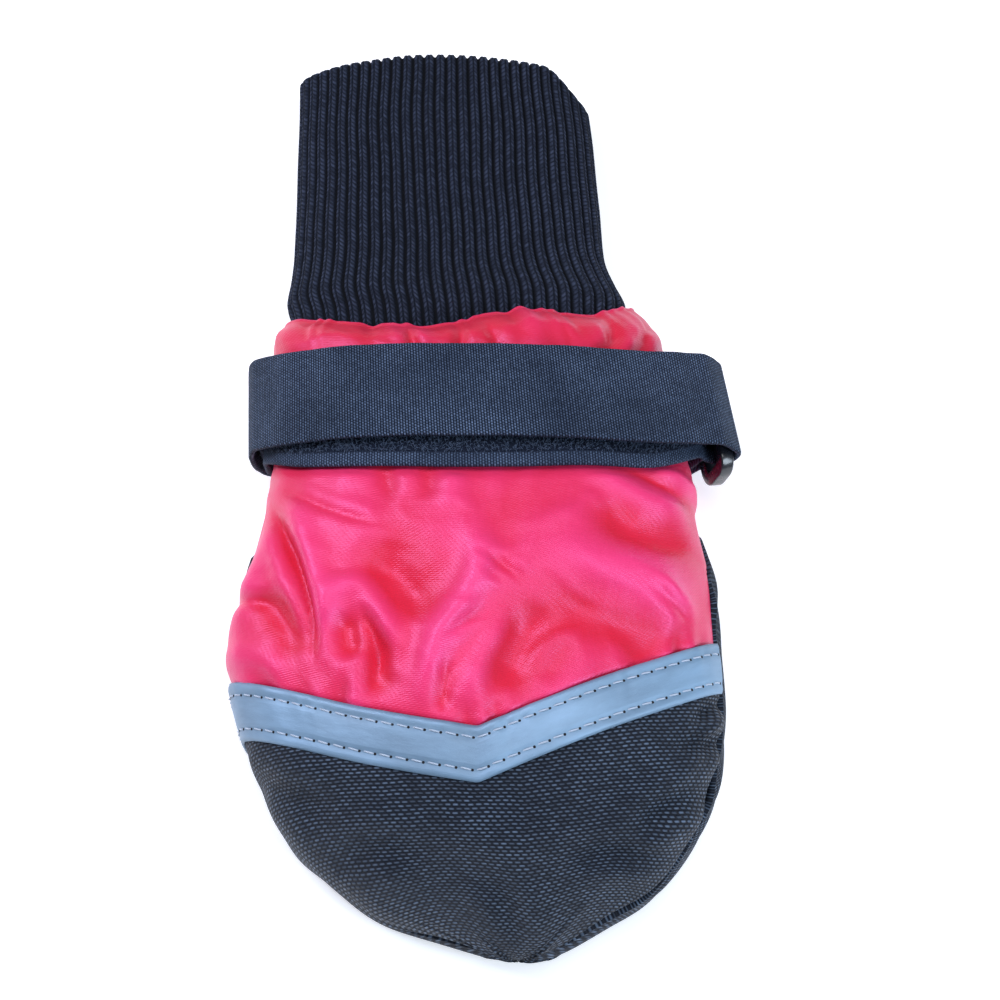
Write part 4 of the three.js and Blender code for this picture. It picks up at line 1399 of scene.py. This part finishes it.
def even_cuff_turns(count):
    """Turns evenly spaced round the cuff, from underneath."""
    dense = np.linspace(-math.pi / 2, 1.5 * math.pi, 6001)
    ring = cuff_ring(dense, np.full(dense.shape, 120.0), 0)
    run = np.concatenate([[0], np.cumsum(np.linalg.norm(np.diff(ring, axis=0), axis=1))])
    return np.interp(np.linspace(0, run[-1], count, endpoint=False), run, dense)


def make_cuff(sizes, colours):
    """Rib knit, folded double: outside from the collar to the rim, over the fold, and back inside. A
    rib's profile is a flat-topped wave with a faint line down its middle, set off along the normal."""
    per_rib = 8
    columns = sizes.rib_count * per_rib
    turn = even_cuff_turns(columns)
    rim = CUFF[-1, 0]
    middle_out = -CUFF_WALL / 2
    radius = CUFF_WALL / 2 - 0.35
    outside = [(y, middle_out + radius, 0.0, 1.0) for y in np.linspace(82.5, rim - radius, 88)]
    fold = [
        (rim - radius + radius * math.sin(a), middle_out + radius * math.cos(a), a, 1.0)
        for a in np.radians(np.linspace(18, 162, 9))
    ]
    inside = [(y, middle_out - radius, math.pi, 0.7) for y in np.linspace(rim - radius, 86, 24)]
    rib = (np.arange(columns) % per_rib) / per_rib
    from_groove = 0.5 - np.abs(rib - 0.5)
    wave = smooth(0.02, 0.30, from_groove) - 0.10 * smooth(0.40, 0.5, from_groove)
    depth = sizes.rib_depth / MM
    rows = []
    for y, out, angle, strength in outside + fold + inside:
        set_off = depth * strength * (wave - 0.35) - 1.3 * smooth(88.5, 84.5, y)
        ring = cuff_ring(turn, np.full(columns, y), out + set_off * math.cos(angle))
        ring[:, 1] += set_off * math.sin(angle)
        rows.append(ring)
    points = np.array(rows)
    wander = 0.5 * undulation(points, 60, 4.4) + 0.18 * undulation(points, 19, 0.2)
    free = smooth(94, 112, points[..., 1]) * smooth(0.5, 5.0, points[..., 2])
    points[..., 2] += wander * free
    points[..., 0] += 0.35 * undulation(points, 34, 1.1) * free
    points[..., 2] = np.maximum(points[..., 2], 0.0)
    along = draped_uv(points, columns // 2, wrap_columns=True)[..., 1]
    ribs = np.broadcast_to(np.arange(columns + 1) / per_rib, along.shape)
    uv = np.stack([ribs, along], -1)
    obj = grid_object("rib_knit_cuff", points, uv, rib_knit(colours), wrap_columns=True, outward=cuff_axis)
    return place(obj, "rib_knit", "cuff")


def cuff_axis(middle):
    """Points in the middle of the cuff's wall, so that outside and inside both count as outwards."""
    rows = through_rows(CUFF, middle[:, 1])
    centre = np.column_stack([rows[:, 0], middle[:, 1], rows[:, 4]])
    away = middle - centre
    reach = np.linalg.norm(away, axis=1, keepdims=True)
    half = rows[:, 1:2] - CUFF_WALL / 2
    share = np.abs(away[:, :1]) / np.maximum(half, 1)
    height = np.where(away[:, 2:] > 0, rows[:, 2:3] - rows[:, 4:5], rows[:, 4:5] - rows[:, 3:4])
    rise = np.maximum(height - CUFF_WALL / 2, 1) ** 2
    mid = np.sqrt((half * share) ** 2 + rise * np.clip(1 - share**2, 0, 1))
    return centre + away / np.maximum(reach, 1e-6) * mid


def strap_lines(width, count=440):
    """The strap's two edges: its route's turns and lifts, laid on the last half a width to each side
    of its station. The outer turn's toe-side edge stands off a little more."""
    route = STRAP_ROUTE.copy()
    jumps = np.diff(route, axis=0) * [0.75, 2.0, 1.0]
    order = np.concatenate([[0], np.cumsum(np.sqrt(np.linalg.norm(jumps, axis=1)))])
    table = np.column_stack([order, route])
    fine = np.linspace(0, order[-1], 4000)
    turn, lift, y = through_rows(table, fine).T
    outer = smooth(0.5, 0.62, fine / order[-1])
    slack = 0.10 * np.sin(fine * 1.9) + 0.04 * np.sin(fine * 4.3 + 1)
    edges = []
    for side in (-1, 1):
        flare = (TOE_SIDE_FLARE if side < 0 else CUFF_SIDE_FLARE) * outer
        high = lift + flare + slack * (0.5 + 0.5 * outer)
        edges.append(last_point(np.radians(turn), y + side * width / 2, high))
    middle = (edges[0] + edges[1]) / 2
    run = np.concatenate([[0], np.cumsum(np.linalg.norm(np.diff(middle, axis=0), axis=1))])
    even = np.linspace(0, run[-1], count)
    toe, cuff = (np.stack([np.interp(even, run, e[:, k]) for k in range(3)], -1) for e in edges)
    degrees = np.interp(even, run, turn)
    return toe, cuff, degrees, even


def make_strap(sizes, colours):
    """The long strap, its loose pile, and the box of stitches that holds its end under the ankle."""
    width = sizes.strap_width / MM
    toe, cuff, degrees, run = strap_lines(width)
    middles, across = (toe + cuff) / 2, cuff - toe
    material = strap_tape(colours)
    thickness = sizes.strap_thickness / MM
    obj, up = band_object("hook_and_loop_strap", middles, across, width, thickness, material)
    place(obj, "strap_webbing", "strap")
    across = across / np.linalg.norm(across, axis=1, keepdims=True)
    fold = int(np.argmin(degrees))
    make_pile(middles, across, up, degrees, fold, sizes, colours)
    corners = [(3, -7.5), (3, 7.5), (16, 7.5), (16, -7.5), (3, -7.5)]
    path = polyline(corners, 0.3)
    face = sizes.strap_thickness / MM / 2 - 0.2
    on_band = (middles, across, up, run, face, sizes, colours, "strap_webbing")
    stitch_on_band("strap_box_stitches", path, *on_band)


def polyline(corners, step):
    """Points every "step" along straight lines between corners."""
    corners = np.array(corners, float)
    lengths = np.linalg.norm(np.diff(corners, axis=0), axis=1)
    run = np.concatenate([[0], np.cumsum(lengths)])
    at = np.arange(0, run[-1], step)
    return np.column_stack([np.interp(at, run, corners[:, k]) for k in range(2)])


def stitch_on_band(name, path, middles, across, up, run, face, sizes, colours, slot):
    """Stitches along a path given as (along, across) on the face of a band that points down, sunk to
    "face" below its middle."""
    at = path[:, 0]
    on = [np.column_stack([np.interp(at, run, v[:, k]) for k in range(3)]) for v in (middles, across, up)]
    normal = np.where(on[2][:, 2:] < 0, on[2], -on[2])
    points = on[0] + on[1] * path[:, 1:] + normal * face
    thread = thread_finish(name + "_thread", tuple(colours.dark_thread))
    row, _, _ = stitches(name, points, normal, 2.6, sizes.thread / MM, thread, 0.3)
    return place(row, slot)


def make_pile(middles, across, up, degrees, fold, sizes, colours):
    """Loose loops on the strap's pile face: each is a thin arc that rises from the face and bends over
    to one side. They are thickest along the edges, where the face shows."""
    pick = np.random.default_rng(7)
    count = sizes.pile_count
    shown = np.flatnonzero((np.arange(len(degrees)) < fold) & (degrees < 190) & (degrees > 9))
    row = pick.choice(shown, count)
    near_edge = pick.random(count) < 0.75
    lane = np.where(near_edge, pick.uniform(-7.6, -2.5, count), pick.uniform(-7.6, 7.6, count))
    outward = np.sign((up[shown] * (middles[shown] - section_axis(middles[shown]))).sum())
    normal = up[row] * outward
    along = np.cross(normal, across[row])
    root = middles[row] + across[row] * lane[:, None] + normal * (sizes.strap_thickness / MM / 2 - 0.05)
    spin = pick.uniform(0, 2 * math.pi, count)
    lean = np.cos(spin)[:, None] * along + np.sin(spin)[:, None] * across[row]
    high = pick.uniform(0.35, 0.95, count)[:, None]
    reach = pick.uniform(0.3, 1.0, count)[:, None]
    share = np.linspace(0, 1, 5)
    rise = np.sin(share * math.pi * 0.85)[None, :, None] * high[:, None] * normal[:, None]
    middle = root[:, None] + rise + (share**1.2)[None, :, None] * reach[:, None] * lean[:, None]
    side = np.cross(lean, normal)
    angle = np.linspace(0, 2 * math.pi, 3, endpoint=False)
    ring = np.cos(angle)[:, None] * side[:, None] + np.sin(angle)[:, None] * normal[:, None]
    skin = middle[:, :, None] + 0.045 * ring[:, None]
    # Painted highlight: the loose fibres take a share of the glint colour, far lighter than the strap they
    # come from.
    fibre = tuple(0.55 * c for c in colours.strap_glint)
    material = plain_finish("pile_fibre", fibre, 0.5, 900, 0.01, specular_ior_level=0.4)
    return place(tubes_object("strap_pile", skin, material), "strap_webbing")


def ring_axes():
    """The ring's own axes: along its bars, up its leaning plane, and through it."""
    bars = last_point(0.0, RING_Y + 10, 0) - last_point(0.0, RING_Y - 10, 0)
    bars /= np.linalg.norm(bars)
    out = np.cross(bars, [0, 0, 1.0])
    out /= np.linalg.norm(out)
    lean = math.radians(RING_LEAN)
    up = np.array([0, 0, math.cos(lean)]) + out * math.sin(lean)
    return bars, up, out


def rounded_loop(half_length, half_width, corner, per_corner=12, per_side=10):
    """Points round a rectangle with round corners, anticlockwise."""
    points = []
    for k, (sx, sy) in enumerate([(1, 1), (-1, 1), (-1, -1), (1, -1)]):
        middle = np.array([sx * (half_length - corner), sy * (half_width - corner)])
        angle = np.linspace(k * math.pi / 2, (k + 1) * math.pi / 2, per_corner)
        points.append(middle + corner * np.column_stack([np.cos(angle), np.sin(angle)]))
    loop = np.concatenate(points)
    closed = np.concatenate([loop, loop[:1]])
    run = np.concatenate([[0], np.cumsum(np.linalg.norm(np.diff(closed, axis=0), axis=1))])
    at = np.linspace(0, run[-1], 4 * (per_corner + per_side), endpoint=False)
    return np.column_stack([np.interp(at, run, closed[:, k]) for k in range(2)])


def make_ring(sizes, colours):
    """The moulded ring: a rounded square profile carried round a rounded rectangle."""
    bars, up, _ = ring_axes()
    through = np.cross(bars, up)
    centre = np.array([RING_INNER_BAR[0], RING_Y, RING_INNER_BAR[1]]) + up * RING_PITCH / 2
    loop = rounded_loop((RING_SLOT + RING_WIRE) / 2, RING_PITCH / 2, RING_CORNER)
    forward = np.roll(loop, -1, axis=0) - np.roll(loop, 1, axis=0)
    forward /= np.linalg.norm(forward, axis=1, keepdims=True)
    outward = np.column_stack([forward[:, 1], -forward[:, 0]])
    angle = np.linspace(0, 2 * math.pi, 24, endpoint=False)
    power = 2 / 7
    profile = RING_WIRE / 2 * np.column_stack(
        [signed_power(np.cos(angle), power), signed_power(np.sin(angle), power)]
    )
    plan = loop[:, None] + outward[:, None] * profile[None, :, :1]
    points = (
        centre
        + plan[..., :1] * bars
        + plan[..., 1:] * up
        + profile[None, :, 1:] * through
    )
    uv = draped_uv(points, 0, wrap_rows=True, wrap_columns=True)
    material = plain_finish(
        "ring_plastic", tuple(colours.plastic), 0.28, 700, 0.03, specular_ior_level=0.6, coat_weight=0.3
    )
    obj = grid_object("plastic_ring", points, uv, material, True, True, outward=loop_axis(centre, bars, up))
    place(obj, "ring_plastic", "strap_ring")


def loop_axis(centre, bars, up):
    """Gives the nearest point on the ring's own middle line, taken as a rectangle."""

    def nearest(middle):
        offset = middle - centre
        a, b = offset @ bars, offset @ up
        half_a, half_b = (RING_SLOT + RING_WIRE) / 2, RING_PITCH / 2
        to_side = np.abs(np.abs(a) - half_a) < np.abs(np.abs(b) - half_b)
        a = np.where(to_side, np.sign(a) * half_a, a)
        b = np.where(to_side, b, np.sign(b) * half_b)
        return centre + a[:, None] * bars + b[:, None] * up

    return nearest


def make_tab(sizes, colours):
    """The tab: webbing from under the ankle, up and round the ring's inner bar, and back on itself."""
    bars, _, out = ring_axes()
    up = np.array([0, 0, 1.0])
    eye, half = 2.75, 0.36
    lower = [(-30, -9.7), (-25, -9.7), (-20, -9.7), (-14, -9.4), (-8, -7.6), (-4.6, -5.4)]
    angle = np.radians(np.linspace(-120, 165, 16))
    around = [(eye * math.cos(a), eye * math.sin(a)) for a in angle]
    upper = [(-4.4, -2.6), (-7.2, -5.8), (-12.6, -8.0), (-18, -8.85)]
    corners = [(x, y - half) for x, y in lower] + around + [(x, y + half * 0.6) for x, y in upper]
    corners = np.array(corners)
    run = np.concatenate([[0], np.cumsum(np.linalg.norm(np.diff(corners, axis=0), axis=1))])
    plan = through_rows(np.column_stack([run, corners]), np.linspace(0, run[-1], 180))
    bar = np.array([RING_INNER_BAR[0], RING_Y, RING_INNER_BAR[1]])
    middles = bar + plan[:, :1] * out + plan[:, 1:] * up
    middles[:, 2] = np.maximum(middles[:, 2], 0.45)
    across = np.tile(bars, (len(middles), 1))
    material = webbing(colours)
    obj, normal = band_object("ring_tab_webbing", middles, across, TAB_WIDTH, 0.62, material)
    place(obj, "tab_webbing", "ring_tab")
    length = np.concatenate([[0], np.cumsum(np.linalg.norm(np.diff(middles, axis=0), axis=1))])
    path = polyline([(2, -6.5), (2, 6.5), (13, 6.5), (13, -6.5), (2, -6.5)], 0.3)
    on_band = (middles, across, normal, length, 0.12, sizes, colours, "tab_webbing")
    stitch_on_band("tab_box_stitches", path, *on_band)


# ---------------------------------------------------------------- the stage

AIM = (4.2 * MM, 47 * MM, 22 * MM)
CAMERA_ELEVATION = 68.0
CAMERA_DISTANCE = 405 * MM
CAMERA_LENS = 70.0


def make_floor(colours):
    """A wide pale floor with a faint even glow, as under a light table."""
    finish = Finish("studio_floor", roughness=0.9, emission_color=(1, 1, 1), emission_strength=0.42)
    finish.paint(base_color=tuple(colours.floor), specular_ior_level=0.1)
    mesh = bpy.data.meshes.new("floor")
    reach = 3.0
    corners = [(-reach, -reach, 0), (reach, -reach, 0), (reach, reach, 0), (-reach, reach, 0)]
    mesh.from_pydata(corners, [], [(0, 1, 2, 3)])
    mesh.materials.append(finish.material)
    floor = bpy.data.objects.new("floor", mesh)
    bpy.context.scene.collection.objects.link(floor)


def make_softbox(name, place_at, size, power, colour):
    """A square area light that faces the bootie."""
    light = bpy.data.lights.new(name, "AREA")
    light.shape = "RECTANGLE"
    light.size, light.size_y = size
    light.energy = power
    light.color = colour
    obj = bpy.data.objects.new(name, light)
    obj.location = place_at
    aim = Vector(AIM) - Vector(place_at)
    obj.rotation_euler = aim.to_track_quat("-Z", "Y").to_euler()
    bpy.context.scene.collection.objects.link(obj)


def make_camera():
    """The camera looks along +Y and down, from ahead of the toe."""
    data = bpy.data.cameras.new("camera")
    data.lens = CAMERA_LENS
    data.sensor_width = 36
    camera = bpy.data.objects.new("camera", data)
    tilt = math.radians(CAMERA_ELEVATION)
    back = Vector((0, -math.cos(tilt), math.sin(tilt)))
    camera.location = Vector(AIM) + back * CAMERA_DISTANCE
    camera.rotation_euler = (-back).to_track_quat("-Z", "Y").to_euler()
    bpy.context.scene.collection.objects.link(camera)
    bpy.context.scene.camera = camera


def make_stage(colours):
    scene = bpy.context.scene
    scene.view_settings.view_transform = "Standard"
    world = bpy.data.worlds.new("studio")
    world.use_nodes = True
    sky = world.node_tree.nodes["Background"]
    sky.inputs["Color"].default_value = (0.78, 0.86, 1.0, 1)
    sky.inputs["Strength"].default_value = 0.16
    scene.world = world
    make_floor(colours)
    make_softbox("window", (-0.40, 0.24, 0.52), (0.32, 0.44), 3.7, (0.84, 0.86, 1.0))
    make_softbox("front", (0.46, -0.30, 0.42), (0.30, 0.34), 3.2, (0.74, 0.86, 1.0))
    make_softbox("overhead", (0.12, 0.10, 0.80), (0.50, 0.40), 2.2, (0.96, 0.96, 1.0))
    make_camera()


# ---------------------------------------------------------------- the add-on


def settings():
    scene = bpy.context.scene
    return scene.bootie_sizes, scene.bootie_colours


class BOOTIE_OT_paw_pocket(bpy.types.Operator):
    """Build the gathered nylon paw pocket"""

    bl_idname = "bootie.paw_pocket"
    bl_label = "Paw pocket"

    def execute(self, context):
        make_paw_pocket(*settings())
        return {"FINISHED"}


class BOOTIE_OT_lining(bpy.types.Operator):
    """Build the thin lining inside the pocket"""

    bl_idname = "bootie.lining"
    bl_label = "Lining"

    def execute(self, context):
        make_lining(*settings())
        return {"FINISHED"}


class BOOTIE_OT_toe_cap(bpy.types.Operator):
    """Build the woven toe cap"""

    bl_idname = "bootie.toe_cap"
    bl_label = "Toe cap"

    def execute(self, context):
        make_toe_cap(*settings())
        return {"FINISHED"}


class BOOTIE_OT_sole(bpy.types.Operator):
    """Build the woven sole and its rear stitch row"""

    bl_idname = "bootie.sole"
    bl_label = "Sole"

    def execute(self, context):
        make_sole(*settings())
        return {"FINISHED"}


class BOOTIE_OT_tape(bpy.types.Operator):
    """Build the reflective chevron with its stitches"""

    bl_idname = "bootie.tape"
    bl_label = "Reflective chevron"

    def execute(self, context):
        make_tape(*settings())
        return {"FINISHED"}


class BOOTIE_OT_cuff(bpy.types.Operator):
    """Build the rib-knit leg cuff"""

    bl_idname = "bootie.cuff"
    bl_label = "Rib-knit cuff"

    def execute(self, context):
        make_cuff(*settings())
        return {"FINISHED"}


class BOOTIE_OT_strap(bpy.types.Operator):
    """Build the hook-and-loop strap, its pile and its stitches"""

    bl_idname = "bootie.strap"
    bl_label = "Strap"

    def execute(self, context):
        make_strap(*settings())
        return {"FINISHED"}


class BOOTIE_OT_ring(bpy.types.Operator):
    """Build the plastic ring and the tab that holds it"""

    bl_idname = "bootie.ring"
    bl_label = "Ring and tab"

    def execute(self, context):
        make_ring(*settings())
        make_tab(*settings())
        return {"FINISHED"}


class BOOTIE_OT_stage(bpy.types.Operator):
    """Build the floor, the lights and the camera"""

    bl_idname = "bootie.stage"
    bl_label = "Stage"

    def execute(self, context):
        make_stage(settings()[1])
        return {"FINISHED"}


OPERATORS = (
    BOOTIE_OT_paw_pocket,
    BOOTIE_OT_lining,
    BOOTIE_OT_toe_cap,
    BOOTIE_OT_sole,
    BOOTIE_OT_tape,
    BOOTIE_OT_cuff,
    BOOTIE_OT_strap,
    BOOTIE_OT_ring,
    BOOTIE_OT_stage,
)


class BOOTIE_PT_panel(bpy.types.Panel):
    """Lists the bootie's sizes, colours and building steps"""

    bl_label = "Dog bootie"
    bl_space_type = "VIEW_3D"
    bl_region_type = "UI"
    bl_category = "Bootie"

    def draw(self, context):
        for group in (context.scene.bootie_sizes, context.scene.bootie_colours):
            for name in group.__annotations__:
                self.layout.prop(group, name)
        for operator in OPERATORS:
            self.layout.operator(operator.bl_idname)


CLASSES = (BootieSizes, BootieColours, *OPERATORS, BOOTIE_PT_panel)


def register():
    for item in CLASSES:
        bpy.utils.register_class(item)
    bpy.types.Scene.bootie_sizes = bpy.props.PointerProperty(type=BootieSizes)
    bpy.types.Scene.bootie_colours = bpy.props.PointerProperty(type=BootieColours)


def unregister():
    del bpy.types.Scene.bootie_colours
    del bpy.types.Scene.bootie_sizes
    for item in reversed(CLASSES):
        bpy.utils.unregister_class(item)


def main():
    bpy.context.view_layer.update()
    register()
    for operator in OPERATORS:
        group, step = operator.bl_idname.split(".")
        getattr(getattr(bpy.ops, group), step)()


if __name__ == "__main__":
    main()
